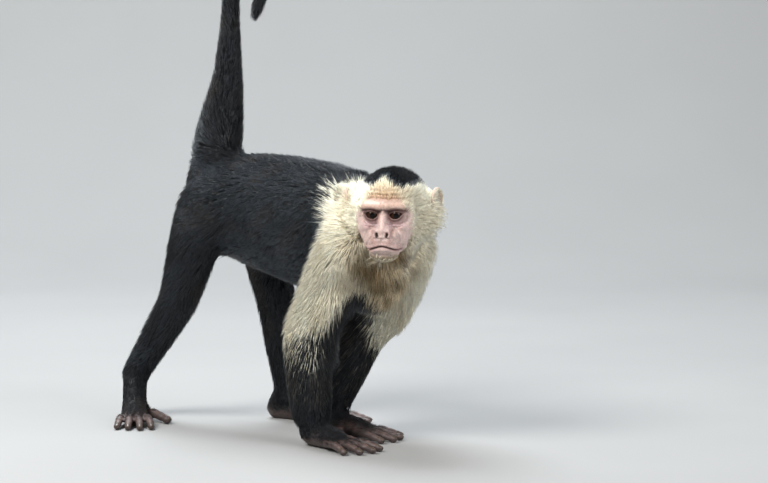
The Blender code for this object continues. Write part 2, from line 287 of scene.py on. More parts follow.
def add_shape(body, shape):
    """Adds one bmesh to another, and frees it."""
    mesh = bpy.data.meshes.new("added")
    shape.to_mesh(mesh)
    shape.free()
    body.from_mesh(mesh)
    bpy.data.meshes.remove(mesh)


def add_chain(body, stations, axes=None, mirror=False):
    """Adds a hull between each station and the next, and the same on the other side if asked."""
    sides = (1, -1) if mirror else (1,)
    for side in sides:
        balls = [((x * side, y, z), half) for (x, y, z), half in stations]
        for link in zip(balls, balls[1:]) if len(balls) > 1 else [balls]:
            add_shape(body, hull_of(list(link), axes or Matrix()))


def even(radius):
    return (radius, radius, radius)


def blend(value, low, high):
    """Rises smoothly from 0 at low to 1 at high."""
    share = np.clip((value - low) / (high - low), 0, 1)
    return share * share * (3 - 2 * share)


print("a ball has", BALL_SEGMENTS * BALL_SEGMENTS // 2, "faces")

# %% [markdown]
# How deep is the coat? A white-faced capuchin's mantle is long and loose, its back a little shorter, and
# its limbs and tail are short and close. One rule gives that depth anywhere on the body. The mantle's
# rear edge slants forward and down from the nape to the elbow, and the markings use the same edge later.

# %% The depth of the coat
MANTLE_EDGE_HEIGHTS = np.array([60, 110, 144, 168, 215, 250, 290]) * MM
MANTLE_EDGE_BACKS = np.array([-52, -55, -59, -67, -98, -121, -138]) * MM
HEAD_RIM = (56, 66)  # mm from the head's middle: all head, and no head any more


def near_segment(places, start, end):
    """Distance from each place to the segment, and how far along it the nearest point lies."""
    line = np.asarray(end, float) - start
    share = np.clip((places - start) @ line / (line @ line), 0, 1)
    return np.linalg.norm(places - start - share[:, None] * line, axis=1), share


def mantle_edge(z):
    """How far back, as Y in metres, the pale mantle reaches at this height."""
    return np.interp(z, MANTLE_EDGE_HEIGHTS, MANTLE_EDGE_BACKS)


def head_share(places):
    """1 on the head, fading to 0 down the neck."""
    return 1 - blend(np.linalg.norm(to_head(places) - (0, 0, 3), axis=1), *HEAD_RIM)


def coat_depth(places):
    """The coat's depth in metres: long on the mantle and flanks, short on the limbs and tail."""
    z = places[:, 2]
    depth = np.full(len(places), 7.5)
    mantle = blend(mantle_edge(z) - places[:, 1], -20 * MM, 15 * MM)
    depth += 5.5 * mantle * blend(z, 0.10, 0.15)
    depth -= 3.0 * blend(-z, -0.12, -0.06)
    tail = blend(z, 0.29, 0.34)
    return (depth * (1 - tail) + tail * np.where(z < 0.36, 6.5, 4.4)) * MM


sample = np.array([JOINTS["shoulder_left"], JOINTS["knee_left"], TAIL[3]])
print("depth at shoulder, knee and tail:", np.round(coat_depth(sample) / MM, 1).tolist(), "mm")

# %% [markdown]
# Moving a surface in by more than a thin limb's radius turns it inside out. So it goes in by small steps
# with a little smoothing between them. Corners that still crossed a thin part are spread evenly between
# their sound neighbours, and a last remesh closes what is left. The head is drawn down to a small ball,
# because its bare forms follow.

# %% Push the envelope in
CORE_VOXEL = 2.8  # mm
CORE_STEPS = 4
SETTLING_ROUNDS = 120


def envelope_side(places):
    """The nearest place of the envelope to each place, its normal, and the depth below it."""
    nearest = np.empty_like(places)
    facing = np.empty_like(places)
    for index, place in enumerate(places):
        nearest[index], facing[index] = envelope_tree.find_nearest(place)[:2]
    depth = ((nearest - places) * facing).sum(axis=1)
    return nearest, facing, depth


def drawn_in(places):
    """Places near the head drawn towards its middle, so that only the neck's forms are left there."""
    h = to_head(places) - (0, 4, 2)
    reach = np.linalg.norm(h, axis=1)
    share = 1 - blend(reach, 50, 74)
    wanted = reach * (1 - share) + np.minimum(reach, 26) * share
    return from_head(h * (wanted / reach)[:, None] + (0, 4, 2))


def settle(thing):
    """Corners that crossed a thin part while moving in are spread between their sound neighbours."""
    ends = places_of(thing)
    lost = envelope_side(ends)[2] < 0.7 * coat_depth(ends)
    a, b = numbers(thing.data.edges, "vertices", 2, np.int32).T
    count = len(ends)
    beside = np.maximum(np.bincount(a, minlength=count) + np.bincount(b, minlength=count), 1)
    for _ in range(SETTLING_ROUNDS):
        total = np.zeros_like(ends)
        for axis in range(3):
            total[:, axis] += np.bincount(a, ends[b, axis], count) + np.bincount(b, ends[a, axis], count)
        ends[lost] = (total / beside[:, None])[lost]
    move_to(thing, ends)
    return int(lost.sum())


core = remeshed(joined_nodes("core"), CORE_VOXEL, SMOOTHING)
for step in range(CORE_STEPS):
    ends = places_of(core)
    move_to(core, ends - normals_of(core) * (coat_depth(ends) / CORE_STEPS)[:, None])
    soften = core.modifiers.new("soften", "SMOOTH")
    soften.factor = 0.4
    soften.iterations = 3
    core = applied(core)
lost = settle(core)
move_to(core, drawn_in(places_of(core)))
core = remeshed(core, 2.4, 3)
print("core:", len(core.data.polygons), "faces,", lost, "corners settled")

# %% [markdown]
# ## Bare forms of the head, hands and feet
# The head is a round braincase, a straight brow bar, a short blunt muzzle and deep cheeks. Each is a ball
# or a short chain, placed in the head's own axes as a centre and three half sizes in millimetres. They
# overlap freely, because the voxel remesh keeps only their outside.

# %% The head
NECK_FOOT = ((17, -115, 212), (32, 26, 30))  # where the neck meets the chest, in the model's own axes


HEAD_FORMS = [
    [((1, 6, 7), (31, 37, 27)), ((2, -10, 10), (27, 27, 25))],  # the braincase
    [((0, -24, -8), (24, 13, 20))],  # the middle of the face
    [((0, -20, -24), (20, 17, 16)), ((0, -37, -27), (17, 13.5, 13))],  # the muzzle
    [((0, -33, 4), (5, 7, 6)), ((0, -43.5, -14), (7.5, 7.5, 6))],  # the nose
    [((0, -39, -22), (17, 12.5, 10))],  # the upper lip
    [((0, -35, -36.5), (15, 11.5, 8.5))],  # the chin
]
PAIRED_FORMS = [  # on both sides
    [((3, -33, 10), (8, 9.5, 5)), ((17.5, -29.5, 8.8), (7.8, 8.5, 4.8))],  # the brow bar
    [((18, -26, -13), (9, 11.5, 8)), ((25, -8, -10), (9, 10, 15))],  # the cheekbone
    [((18, -25, -13), (8.5, 11.5, 8)), ((13, -26, -28), (8.5, 11.5, 9))],  # the cheek beside the muzzle
    [((25, 2, -12), (10, 14, 18)), ((14, 4, -28), (14, 18, 14))],  # the jaw
    [((EYE_ASIDE, -EYE_FORWARD, 0), even(EYE_RADIUS + 0.7))],  # flesh round the eyeball
    [((23.5, -27, 7), (5, 6.5, 5.5)), ((24, -25, -8), (4.5, 6.5, 5))],  # the rim of the eye socket
]


def add_head(body):
    for stations in HEAD_FORMS:
        add_chain(body, stations, HEAD)
    for stations in PAIRED_FORMS:
        add_chain(body, stations, HEAD, mirror=True)
    nape, throat = from_head(np.array([(0, 22, 2), (0, 8, -26)])) / MM
    for place, half in ((nape, (29, 27, 27)), (throat, (24, 24, 23))):
        add_chain(body, [(place, half), NECK_FOOT])


print(len(HEAD_FORMS), "forms on the middle line and", len(PAIRED_FORMS), "pairs")

# %% [markdown]
# A capuchin's ear is a small upright oval that stands off the head and opens forwards. It is a flat ball
# on a short root here, and its bowl is pressed in later, once the skin is fused.

# %% The ears
EAR_PLACE = (44.5, 8.5, 8.0)  # mm, in the head's axes
EAR_HALF = (3.3, 10.2, 13.2)
EAR_FLARE = math.radians(-22.0)


def ear_axes(side):
    """The ear's own axes on one side of the head: X outwards, Y back and Z up."""
    place = Vector((side * EAR_PLACE[0], EAR_PLACE[1], EAR_PLACE[2])) * MM
    return HEAD @ Matrix.Translation(place) @ Matrix.Rotation(side * EAR_FLARE, 4, "Z")


def in_ear(places, side):
    """Places in one ear's own axes, in millimetres, and those axes as columns."""
    axes = np.array(ear_axes(side))
    return (places - axes[:3, 3]) @ axes[:3, :3] / MM, axes[:3, :3]


def add_ear(body, side):
    add_chain(body, [((0, 0, 0.4), EAR_HALF)], ear_axes(side))
    add_chain(body, [((-1 * side, -2, -2), (4, 8, 9)), ((-13 * side, -3, -5), (6, 8, 9))], ear_axes(side))


print("an ear is", 2 * EAR_HALF[1], "mm wide and", 2 * EAR_HALF[2], "mm high")

# %% [markdown]
# A hand is a palm with four fingers and a short thumb. A foot is longer, and its big toe stands off like
# a thumb, because capuchins grip with their feet. The right heel is lifted, as in mid-step. Soles and
# pads sink a little below the floor here and are cut flat by it later, so that they rest and don't just
# touch.

# %% Hands and feet
SIDES = {"left": 1, "right": -1}
WRIST = {"left": (25.0, -46.0, 28.0), "right": (-29.0, -79.0, 28.0)}  # mm
ANKLE = {"left": (68.0, 56.0, 30.0), "right": (-33.0, 176.0, 44.0)}
HAND_TURNS = {"left": math.radians(12), "right": math.radians(-4)}
FOOT_TURNS = {"left": math.radians(14), "right": math.radians(-42)}
HEEL_LIFT = {"left": 0.0, "right": 12.0}
FINGER_LENGTHS = (36.0, 41.0, 39.0, 31.0)  # mm, from the thumb's side outwards
FINGER_GAP = 9.3
TOE_LENGTHS = (31.0, 35.0, 33.0, 28.0)
TOE_GAP = 8.7
SOLE_SINK = 1.2
ACROSS = math.radians(90)
DIGITS = []  # of each digit: its tip, its heading and its radius, for the nails


def along(place, heading, reach, lift=0.0):
    """A point at this reach from a place, in plan, with its height given."""
    return (place[0] + math.sin(heading) * reach, place[1] - math.cos(heading) * reach, lift)


def add_digit(body, root, heading, length, radius):
    """A finger or toe: four knuckles in a low arch, and a soft pad that rests on the floor."""
    shares = (0.0, 0.42, 0.72, 1.0)
    lifts = (radius + 3.2, radius + 3.4, radius + 1.4, radius - SOLE_SINK * 0.8)
    widths = (radius + 0.5, radius + 0.15, radius - 0.25, radius - 0.6)
    stations = []
    for share, lift, width in zip(shares, lifts, widths):
        stations.append((along(root, heading, length * share, lift), (width, width, width * 0.92)))
    knuckles = []
    for (a, half_a), (b, half_b) in zip(stations, stations[1:]):
        waist = tuple((p + q) / 2 for p, q in zip(a, b))
        narrow = tuple((p + q) / 2 - 0.55 for p, q in zip(half_a, half_b))
        knuckles += [(a, half_a), (waist, narrow)]
    add_chain(body, knuckles + stations[-1:])
    DIGITS.append((np.array(stations[-1][0]), heading, widths[-1]))


def add_hand(body, wrist, heading, side):
    palm = along(wrist, heading, 34, 9)
    add_chain(body, [
        (wrist, (13, 13, 12)),
        (along(wrist, heading, 5, 12), (13.5, 13, 11.5 + SOLE_SINK)),
        (palm, (15.5, 11, 8.2 + SOLE_SINK)),
    ])
    for number, length in enumerate(FINGER_LENGTHS):
        spread = (number - 1.5) * side
        root = along(along(wrist, heading, 41), heading + ACROSS, spread * FINGER_GAP)
        add_digit(body, root, heading + math.radians(7.5) * spread, length + 0.5, 4.3)
    thumb = along(along(wrist, heading, 14), heading + ACROSS, -12 * side)
    add_digit(body, thumb, heading - math.radians(36) * side, 27, 4.7)


def add_foot(body, ankle, heading, side, lift):
    heel = along(ankle, heading, -14, 10.5 + lift)
    arch = along(ankle, heading, 26, 11.5 + lift * 0.6)
    ball = along(ankle, heading, 52, 7.6)
    sink = SOLE_SINK if lift == 0 else 0
    add_chain(body, [(ankle, (11.5, 11.5, 13)), (heel, (9.5, 9, 10 + sink))])
    add_chain(body, [
        (ankle, (11, 11, 12)),
        (arch, (11.5, 11.5, 11 + sink)),
        (ball, (14.2, 11, 7.2 + SOLE_SINK)),
    ])
    add_chain(body, [(heel, (9.5, 9, 10 + sink)), (arch, (10.5, 10.5, 11 + sink))])
    for number, length in enumerate(TOE_LENGTHS):
        spread = (number - 1.5) * side
        root = along(along(ankle, heading, 57), heading + ACROSS, spread * TOE_GAP)
        add_digit(body, root, heading + math.radians(5) * spread, length + 1, 4.2)
    big = along(along(ankle, heading, 24), heading + ACROSS, -10 * side)
    add_digit(body, big, heading - math.radians(42) * side, 34.5, 5.2)


shift = [np.array(WRIST[side]) - JOINTS["wrist_" + side] / MM for side in SIDES]
print("wrists sit", np.round(shift, 1).tolist(), "mm from the cuts")

# %% [markdown]
# Everything so far goes into one mesh, and one fine voxel remesh makes it a single skin. Its voxels are
# about as large as the smallest fold that the remesh must keep, between two fingers.

# %% Fuse them into one skin
FINE_VOXEL = 1.35  # mm
bare = bmesh.new()
bare.from_mesh(core.data)
bpy.data.objects.remove(core)
add_head(bare)
for word, side in SIDES.items():
    add_ear(bare, side)
    add_hand(bare, WRIST[word], HAND_TURNS[word], side)
    add_foot(bare, ANKLE[word], FOOT_TURNS[word], side, HEEL_LIFT[word])
skin = remeshed(mesh_object("skin", bare), FINE_VOXEL, 4)
print("fused skin:", len(skin.data.polygons), "faces")

# %% [markdown]
# Most of this skin is hidden by fur, so the furry parts are thinned with a Decimate modifier that a
# vertex group steers. The face keeps every face it has, and is then divided again: once for the whole
# face, and once more round the eyes, nostrils and mouth, where the folds are finest.

# %% Thin the furry parts
KEPT_SHARE = 0.26  # of the triangles, which brings the finished skin under 200,000


def within(value, low, high):
    return (value > low) & (value < high)


def bare_weight(places):
    """1 where the skin shows: the face, the ears, the hands and the feet."""
    h = to_head(places)
    aside = np.abs(h[:, 0])
    face = blend(-h[:, 1], 2, 10) * (aside < 36) * within(h[:, 2], -52, 38) * (h[:, 1] > -70)
    ears = within(aside, 33, 60) * (np.abs(h[:, 1] - 10) < 22) * (np.abs(h[:, 2] - 9) < 18)
    paws = 1 - blend(places[:, 2], 0.022, 0.034)
    return np.clip(np.maximum(np.maximum(face, ears), paws), 0, 1)


def thinned(thing, ratio):
    group = thing.vertex_groups.new(name="furry")
    weights = 1 - bare_weight(places_of(thing))
    for index in np.flatnonzero(weights > 0.01):
        group.add([int(index)], float(weights[index]), "REPLACE")
    thin = thing.modifiers.new("thin", "DECIMATE")
    thin.ratio = ratio
    thin.vertex_group = "furry"
    thin.vertex_group_factor = 10
    return applied(thing)


skin = thinned(skin, KEPT_SHARE)
print("thinned skin:", len(skin.data.polygons), "faces")

# %% [markdown]
# Small folds need small faces. Dividing only the faces that the viewer studies is cheaper than a finer
# remesh of everything, and a few rounds of smoothing take the old facets out of the divided faces.

# %% Divide the face more finely
def subdivide_where(thing, chosen):
    """Divides the faces whose corners all pass the test of their places in the head's axes."""
    shape = bmesh.new()
    shape.from_mesh(thing.data)
    inside = chosen(to_head(places_of(thing)))
    faces = [face for face in shape.faces if all(inside[corner.index] for corner in face.verts)]
    edges = list({edge for face in faces for edge in face.edges})
    bmesh.ops.subdivide_edges(shape, edges=edges, cuts=1, use_grid_fill=True, smooth=0.0)
    bmesh.ops.triangulate(shape, faces=[face for face in shape.faces if len(face.verts) > 4])
    shape.to_mesh(thing.data)
    shape.free()
    thing.data.update()


def relax(thing, chosen, rounds):
    """Smooths only the chosen vertices, so that a divided face doesn't keep the old facets."""
    shape = bmesh.new()
    shape.from_mesh(thing.data)
    shape.verts.ensure_lookup_table()
    inside = chosen(to_head(places_of(thing)))
    picked = [shape.verts[index] for index in np.flatnonzero(inside)]
    for _ in range(rounds):
        bmesh.ops.smooth_vert(
            shape, verts=picked, factor=0.5, use_axis_x=True, use_axis_y=True, use_axis_z=True
        )
    shape.to_mesh(thing.data)
    shape.free()
    thing.data.update()


def whole_face(h):
    return within(h[:, 1], -70, -12) & (np.abs(h[:, 0]) < 33) & within(h[:, 2], -50, 30)


def eye_zone(h):
    return (h[:, 1] < -22) & (np.abs(np.abs(h[:, 0]) - EYE_ASIDE) < 11) & (np.abs(h[:, 2]) < 9)


def mouth_zone(h):
    return (h[:, 1] < -36) & (np.abs(h[:, 0]) < 19) & within(h[:, 2], -42, -9)


def finest(h):
    return eye_zone(h) | mouth_zone(h)


subdivide_where(skin, whole_face)
relax(skin, whole_face, 3)
print("skin with a fine face:", len(skin.data.polygons), "faces")

# %% [markdown]
# ## Carving the face
# A carver cuts a face in strokes: a ridge, a groove or a dimple along a short path. Here a stroke is a
# path drawn on the face as it is seen from the front (across and up, in millimetres of the head's axes),
# a width, and a push along the skin's normal. It fades with the distance from its path as a bell curve
# does. Each is cut on both sides at once.

# %% Strokes
def path_distance(h, path):
    """Distance across and up, in mm, from each place to a path drawn on one half of the face."""
    flat = np.stack((np.abs(h[:, 0]), h[:, 2]), axis=1)
    path = [np.array(point, float) for point in path]
    if len(path) == 1:
        return np.linalg.norm(flat - path[0], axis=1)
    return np.min([near_segment(flat, a, b)[0] for a, b in zip(path, path[1:])], axis=0)


def bell(distance, width):
    return np.exp(-((distance / width) ** 2))


def carve(thing, strokes):
    for path, width, push in strokes:
        spots = places_of(thing)
        h = to_head(spots)
        front = blend(-h[:, 1], 12, 20) * (h[:, 1] > -66) * (h[:, 2] > -56)
        amount = bell(path_distance(h, path), width) * front
        near = np.flatnonzero(amount > 0.01)
        spots[near] += normals_of(thing)[near] * (amount[near] * push * MM)[:, None]
        move_to(thing, spots)


print("a stroke fades to", round(float(bell(2.0, 1.0)), 3), "of its push at twice its width")

# %% [markdown]
# The broad strokes come first, on the once divided face: brow bar, cheekbones, whisker pads, chin and
# temples. A white-faced capuchin's brow bar is straight and overhangs the eyes, and its cheeks are hollow
# beside the muzzle.

# %% Broad strokes
BROAD_STROKES = [
    ([(0, 8.2), (11, 8.2), (18.5, 7.6)], 3.2, 3.1),  # the brow bar, straight over the eyes
    ([(0, 15), (14, 15)], 4.0, -0.9),  # the dip above the brow
    ([(4.2, 1), (5.4, -8)], 2.4, -1.2),  # the side of the nose's bridge
    ([(0, 3), (0, -12)], 2.6, 1.2),  # the bridge
    ([(8, -10), (17, -10), (23, -7)], 3.4, 1.3),  # the cheekbone under the eye
    ([(16.5, -21), (21, -27)], 4.6, -0.9),  # the hollow cheek beside the muzzle
    ([(7, -25), (12.5, -26.5)], 3.6, 1.3),  # the upper lip's whisker pad
    ([(0, -41)], 5.0, 1.0),  # the chin
    ([(23, 14), (26, 4)], 4.0, -1.2),  # the temple
]
carve(skin, BROAD_STROKES)
subdivide_where(skin, finest)
relax(skin, finest, 2)
print(len(BROAD_STROKES), "broad strokes, then", len(skin.data.polygons), "faces")

# %% [markdown]
# The fine strokes cut the lips, nostrils and wrinkles. The mouth droops at its corners, which gives the
# animal its stern look, so its line is named: the same path is painted dark later, as painted shade between
# the lips.

# %% Fine strokes
MOUTH = [(0, -28.4), (3.5, -28.9), (8, -30.6), (12, -32.3), (16, -33.2)]
FINE_STROKES = [
    (MOUTH, 0.85, -3.2),  # the mouth's line
    ([(0, -26.4), (5, -27.2), (10, -29.2), (14, -30.6)], 1.3, 0.9),  # upper lip
    ([(0, -31.6), (6, -32.2), (11, -34.2)], 1.6, 1.1),  # lower lip
    ([(0, -36.6), (7, -37.4)], 1.5, -1.1),  # the crease under the lower lip
    ([(0, -21), (0, -25.5)], 0.9, -0.9),  # the groove from the nose to the lip
    ([(5.6, -14), (7.0, -17.5), (6.2, -19.5)], 1.8, 1.8),  # the wing of the nose
    ([(4.9, -16.8), (4.3, -18.9)], 1.05, -3.4),  # the nostril
    ([(0, -14.5), (0, -19)], 1.6, 0.9),  # the septum's pad
    ([(2, -21.2), (6.5, -20.8)], 0.9, -0.9),  # under the nose
    ([(9.2, -13), (10.6, -19), (14.6, -25), (17.4, -30)], 1.0, -1.3),  # the fold round the muzzle
    ([(17.4, -32.5), (18.8, -36)], 1.2, -0.9),  # the fold behind the mouth's corner
    ([(1.5, 12), (1.2, 5.5)], 0.8, -0.8),  # the furrows between the brows
    ([(4, -7), (9, -9.0), (15, -8.4), (19, -5.8)], 0.8, -0.9),  # under the eye
    ([(6, -10.6), (12, -12.2), (18, -10.6)], 0.8, -0.6),
    ([(0, 15.2), (8, 15.8), (16, 15.0)], 0.75, -0.9),  # the forehead's wrinkles
    ([(0, 18.2), (7, 19.0), (14, 18.6)], 0.75, -0.8),
    ([(0, 21.4), (6, 22.2), (12, 22)], 0.75, -0.6),
    ([(21, 2.6), (23.5, 5.5)], 0.8, -0.6),  # lines at the eye's outer corner
    ([(21, -2), (24, -3.5)], 0.8, -0.6),
    ([(7.5, -23), (9, -27)], 0.7, -0.35),  # rows of the whisker pad
    ([(10.5, -23.5), (12, -27.5)], 0.7, -0.35),
]
carve(skin, FINE_STROKES)
print(len(FINE_STROKES), "fine strokes")

# %% [markdown]
# The bowl of an ear is a smooth hollow, deepest in the middle, with a small fold before its hole. The
# ball that stands for the ear is pressed in from its outer side only, so the back stays round.

# %% Hollow the ears
def hollow_ears(thing):
    spots = places_of(thing)
    for side in SIDES.values():
        e, axes = in_ear(spots, side)
        bowl = 1 - blend(np.hypot(e[:, 1] / 8.4, e[:, 2] / 11.2), 0.45, 1.05)
        fold = 0.8 * bell(np.hypot((e[:, 1] + 6.5) / 2.2, (e[:, 2] + 2) / 4.0), 1)
        outer = (np.abs(e[:, 0]) < 6) * (e[:, 0] * side > -0.5)
        push = (-3.4 * bowl + fold) * outer * side * MM
        spots = spots + push[:, None] * axes[:, 0]
    move_to(thing, spots)


hollow_ears(skin)
print("ears hollowed")

# %% [markdown]
# The lids lie on the eyeball like a slightly larger ball, with an almond opening. Skin inside the opening
# is tucked behind the eyeball, so that the lid has a real edge with a thickness.

# %% The lids
LID_THICKNESS = 1.0  # mm
TUCK = 1.4  # how deep the skin inside the opening lies in the eyeball
OPENING_HALF = 6.6
OPENING_UP = 2.5
OPENING_DOWN = 3.6
CORNER_TILT = 0.10  # the outer corner is a little higher


def opening_gap(side_x, height):
    """How far, in mm, a point of the lid stands outside the almond opening (negative is inside)."""
    tilted = height - CORNER_TILT * side_x - 0.3
    share = np.clip(np.abs(side_x / OPENING_HALF), 0, 2)
    reach = np.where(tilted > 0, OPENING_UP, OPENING_DOWN) * np.clip(1 - share**2.2, 0, 1)
    beyond_corner = np.hypot(np.abs(side_x) - OPENING_HALF, tilted)
    return np.where(share < 1, np.abs(tilted) - reach, beyond_corner)


def cut_lids(thing):
    h = to_head(places_of(thing))
    lid = EYE_RADIUS + LID_THICKNESS
    tucked = EYE_RADIUS - TUCK
    for side in SIDES.values():
        centre = np.array([side * EYE_ASIDE, -EYE_FORWARD, 0.0])
        away = h - centre
        distance = np.linalg.norm(away, axis=1)
        gap = opening_gap(away[:, 0] * side, away[:, 2])
        target = tucked + (lid - tucked) * blend(gap, 0.0, 0.55)
        target += 0.35 * bell(gap - 1.0, 0.7)  # the lid's thick edge
        target -= 0.45 * bell(gap - 2.7, 0.7) * (away[:, 2] > 0)  # the crease above it
        near = (away[:, 1] < -1.5) * (distance < 17)
        hold = (1 - blend(gap, 2.0, 5.5)) * near
        hold = np.where(gap < 0.6, near, hold)
        goal = centre + away / distance[:, None] * target[:, None]
        h = h * (1 - hold[:, None]) + goal * hold[:, None]
    move_to(thing, from_head(h))


def around_lids(h):
    return eye_zone(h) & (np.hypot(np.abs(h[:, 0]) - EYE_ASIDE, h[:, 2]) > 8.5)


cut_lids(skin)
relax(skin, around_lids, 1)
print("opening", 2 * OPENING_HALF, "mm wide and", OPENING_UP + OPENING_DOWN, "mm high")

# %% [markdown]
# The soles and pads were sunk a little into the floor. Lifting every corner that lies below it gives each
# a small flat, which is how soft pads rest.

# %% Flatten the soles
def shade_smooth(thing):
    for polygon in thing.data.polygons:
        polygon.use_smooth = True


spots = places_of(skin)
sunk = spots[:, 2] < 0
spots[sunk, 2] = 0
move_to(skin, spots)
shade_smooth(skin)
print("finished skin:", len(skin.data.polygons), "faces,", int(sunk.sum()), "corners on the floor")

# %% [markdown]
# ## Markings
# The same rule paints the skin and the coat, so that no wrong colour shows between two locks. A
# white-faced capuchin is black, with a cream mantle over the face, throat, chest, shoulders and upper
# arms, and a black cap that runs down the nape to join the back. Near a border a lock is one colour or
# the other by chance, because single hairs mix there.

# %% Colours, and a noise to break up their borders
SPINE = 17  # mm: X of the body's plane of symmetry
BODY_MIDDLE = SPINE * MM
BLACK = np.array((0.0105, 0.012, 0.0145))
CAP_BLACK = np.array((0.0035, 0.004, 0.005))
CREAM = np.array((0.97, 0.90, 0.72))
WARM_CREAM = np.array((0.86, 0.71, 0.47))
FOREHEAD_CREAM = np.array((0.84, 0.62, 0.40))
# ochre at the throat, darkened as painted shade under the head
OCHRE_AND_SHADE = np.array((0.27, 0.185, 0.085))
BROWN = np.array((0.060, 0.040, 0.026))
GREY = np.array((0.28, 0.26, 0.21))


def mixed(base, colour, share):
    share = np.clip(share, 0, 1)[:, None]
    return base * (1 - share) + colour * share


def waves(places, size, seed):
    """A smooth, repeatable noise from -1 to 1 whose bumps are about this many millimetres across."""
    draws = np.random.default_rng(seed)
    total = np.zeros(len(places))
    for _ in range(6):
        heading = draws.normal(size=3)
        heading /= np.linalg.norm(heading)
        rate = 2 * math.pi / (size * MM) * draws.uniform(0.6, 1.5)
        total += np.sin(places @ heading * rate + draws.uniform(0, 2 * math.pi))
    return np.clip(total / 2.6, -1, 1)


print("noise at the joints:", np.round(waves(np.array(TAIL), 34, 11), 2).tolist())

# %% [markdown]
# The arms are cream outside and black inside, and that border runs slantwise down each arm. It is
# measured from the line through shoulder, elbow and wrist: a height in millimetres goes with how far
# inwards of that line the black begins.

# %% The border on the arms
INWARD = {"right": np.array((0.74, -0.67, 0.0)), "left": np.array((-0.74, 0.67, 0.0))}
BLACK_BEYOND = {  # heights, and how far inwards the black begins at each
    "right": ((84, 104, 116, 130, 152, 172), (-40, -26, -4, 14, 27, 60)),
    "left": ((90, 108, 122, 140, 165, 185), (-10, 2, 8, 12, 16, 60)),
}


def arm_offset(places, word):
    """How far inwards each place stands from this arm's middle line, in mm, and its distance in metres."""
    shoulder, elbow, wrist = (JOINTS[part + word] for part in ("shoulder_", "elbow_", "wrist_"))
    offset = np.empty(len(places))
    far = np.full(len(places), np.inf)
    for start, end in ((shoulder, elbow), (elbow, wrist)):
        reach, share = near_segment(places, start, end)
        spot = start + share[:, None] * (np.asarray(end) - start)
        inward = (places - spot) @ INWARD[word] / MM
        offset = np.where(reach < far, inward, offset)
        far = np.minimum(far, reach)
    return offset, far


def arm_cream(places):
    """1 on the upper arms and the trunk, 0 on the forearms and on the arms' inner sides."""
    x, y, z = places.T
    ragged = z + 7 * MM * waves(places, 16, 12)
    share = np.where(x > BODY_MIDDLE, blend(ragged, 0.078, 0.112), blend(ragged, 0.078, 0.128))
    for word, (heights, rims) in BLACK_BEYOND.items():
        offset, far = arm_offset(places, word)
        beyond = offset - np.interp(z / MM, heights, rims) + 4 * waves(places, 14, 13)
        share = share * (1 - blend(beyond, -7, 7) * (far < 0.045))
    between = blend(0.184 - z, 0, 0.014) * blend(0.030 - x, 0, 0.012) * blend(x + 0.016, 0, 0.012)
    return share * (1 - between * blend(y, -0.150, -0.130))


def frosting(places):
    """The pale hairs that run down the outside of the right forearm, thinning towards the wrist."""
    _, y, z = places.T
    offset, far = arm_offset(places, "right")
    share = 0.34 * blend(z, 0.062, 0.098) * (far < 0.040) * blend(18 - offset, 0, 14)
    return share * blend(-0.052 - y, 0, 0.012) * blend(0.152 - z, 0, 0.016)


elbows = np.array([JOINTS["elbow_right"], JOINTS["elbow_left"]])
print("cream at the elbows:", np.round(arm_cream(elbows), 2).tolist())

# %% [markdown]
# On the head the cap's edge is a hood line: level at the sides, with a pale peak above the brow, and
# falling towards the nape. On the body the mantle ends along its slanting rear edge, and a black stripe
# runs up the nape through it to join the cap to the back.

# %% The border on the head and the mantle
def head_cream(places):
    h = to_head(places)
    hood = 24.5 + 8 * bell(h[:, 0] + 1, 8) * (h[:, 1] < 0) - 0.30 * np.clip(h[:, 1] - 4, 0, 40)
    hood += 0.8 * waves(places, 9, 5)
    back = blend(h[:, 1], 30, 37) * blend(15 - np.abs(h[:, 0] - 4), -3, 3) * blend(h[:, 2], -8, 0)
    return (1 - blend(h[:, 2] - hood, -1.5, 1.5)) * (1 - back)


def body_cream(places):
    x, y, z = places.T
    wobble = 5 * MM * waves(places, 34, 11)
    flank = 10 * MM * bell(z - 0.176, 0.034)
    mantle = blend(mantle_edge(z) - flank - y + wobble, -9 * MM, 9 * MM)
    share = np.maximum(mantle * arm_cream(places), frosting(places))
    nape = blend(15 * MM - np.abs(x - BODY_MIDDLE) + 0.3 * wobble, -2 * MM, 3 * MM) * blend(z, 0.236, 0.243)
    return share * (1 - nape * blend(y, -0.128, -0.108))


def cream_share(places):
    """How much of the coat is cream at these places, from 0 to 1."""
    share = head_share(places)
    return head_cream(places) * share + body_cream(places) * (1 - share)


landmarks = np.array([JOINTS["shoulder_left"], JOINTS["knee_left"], from_head(np.array((0, 5, 45.0)))])
print("cream at shoulder, knee and crown:", np.round(cream_share(landmarks), 2).tolist())

# %% [markdown]
# Neither colour is flat. The cream turns warm at the throat and ochre under the chin, where the ochre is
# darkened as painted shade under the head. The black is browner inside the legs, where the brown is painted
# light shining through the thin hair from behind. Where the two meet, and on the forearms, some black hairs
# are grizzled. A flat colour would look like paint, so every share below is a soft one.

# %% The colour of a lock
def pale_coat(places):
    x, y, z = places.T
    h = to_head(places)
    share = head_share(places)
    throat = (1 - share) * blend(-0.118 - y, -0.012, 0.02) * blend(0.222 - z, 0, 0.03)
    throat *= blend(0.040 - np.abs(x - BODY_MIDDLE), 0, 0.020)
    throat = np.maximum(throat, share * blend(-h[:, 2], 34, 48) * blend(-h[:, 1], -4, 10))
    warmth = 0.75 * throat + 0.05 + 0.20 * waves(places, 40, 3)
    coat = mixed(np.tile(CREAM, (len(places), 1)), WARM_CREAM, warmth)
    # painted shadow of the head: dark ochre under the chin and on the throat
    chin_shadow = bell(np.linalg.norm(places - from_head(np.array((0, -26, -52))), axis=1) / MM, 26)
    coat = mixed(coat, OCHRE_AND_SHADE, 0.75 * throat * blend(waves(places, 18, 8), -0.3, 0.5) + 0.9 * chin_shadow)
    brow = share * blend(-h[:, 1], 16, 30) * bell(np.hypot(h[:, 0] / 1.6, h[:, 2] - 17), 12)
    return mixed(coat, FOREHEAD_CREAM, 0.8 * brow)


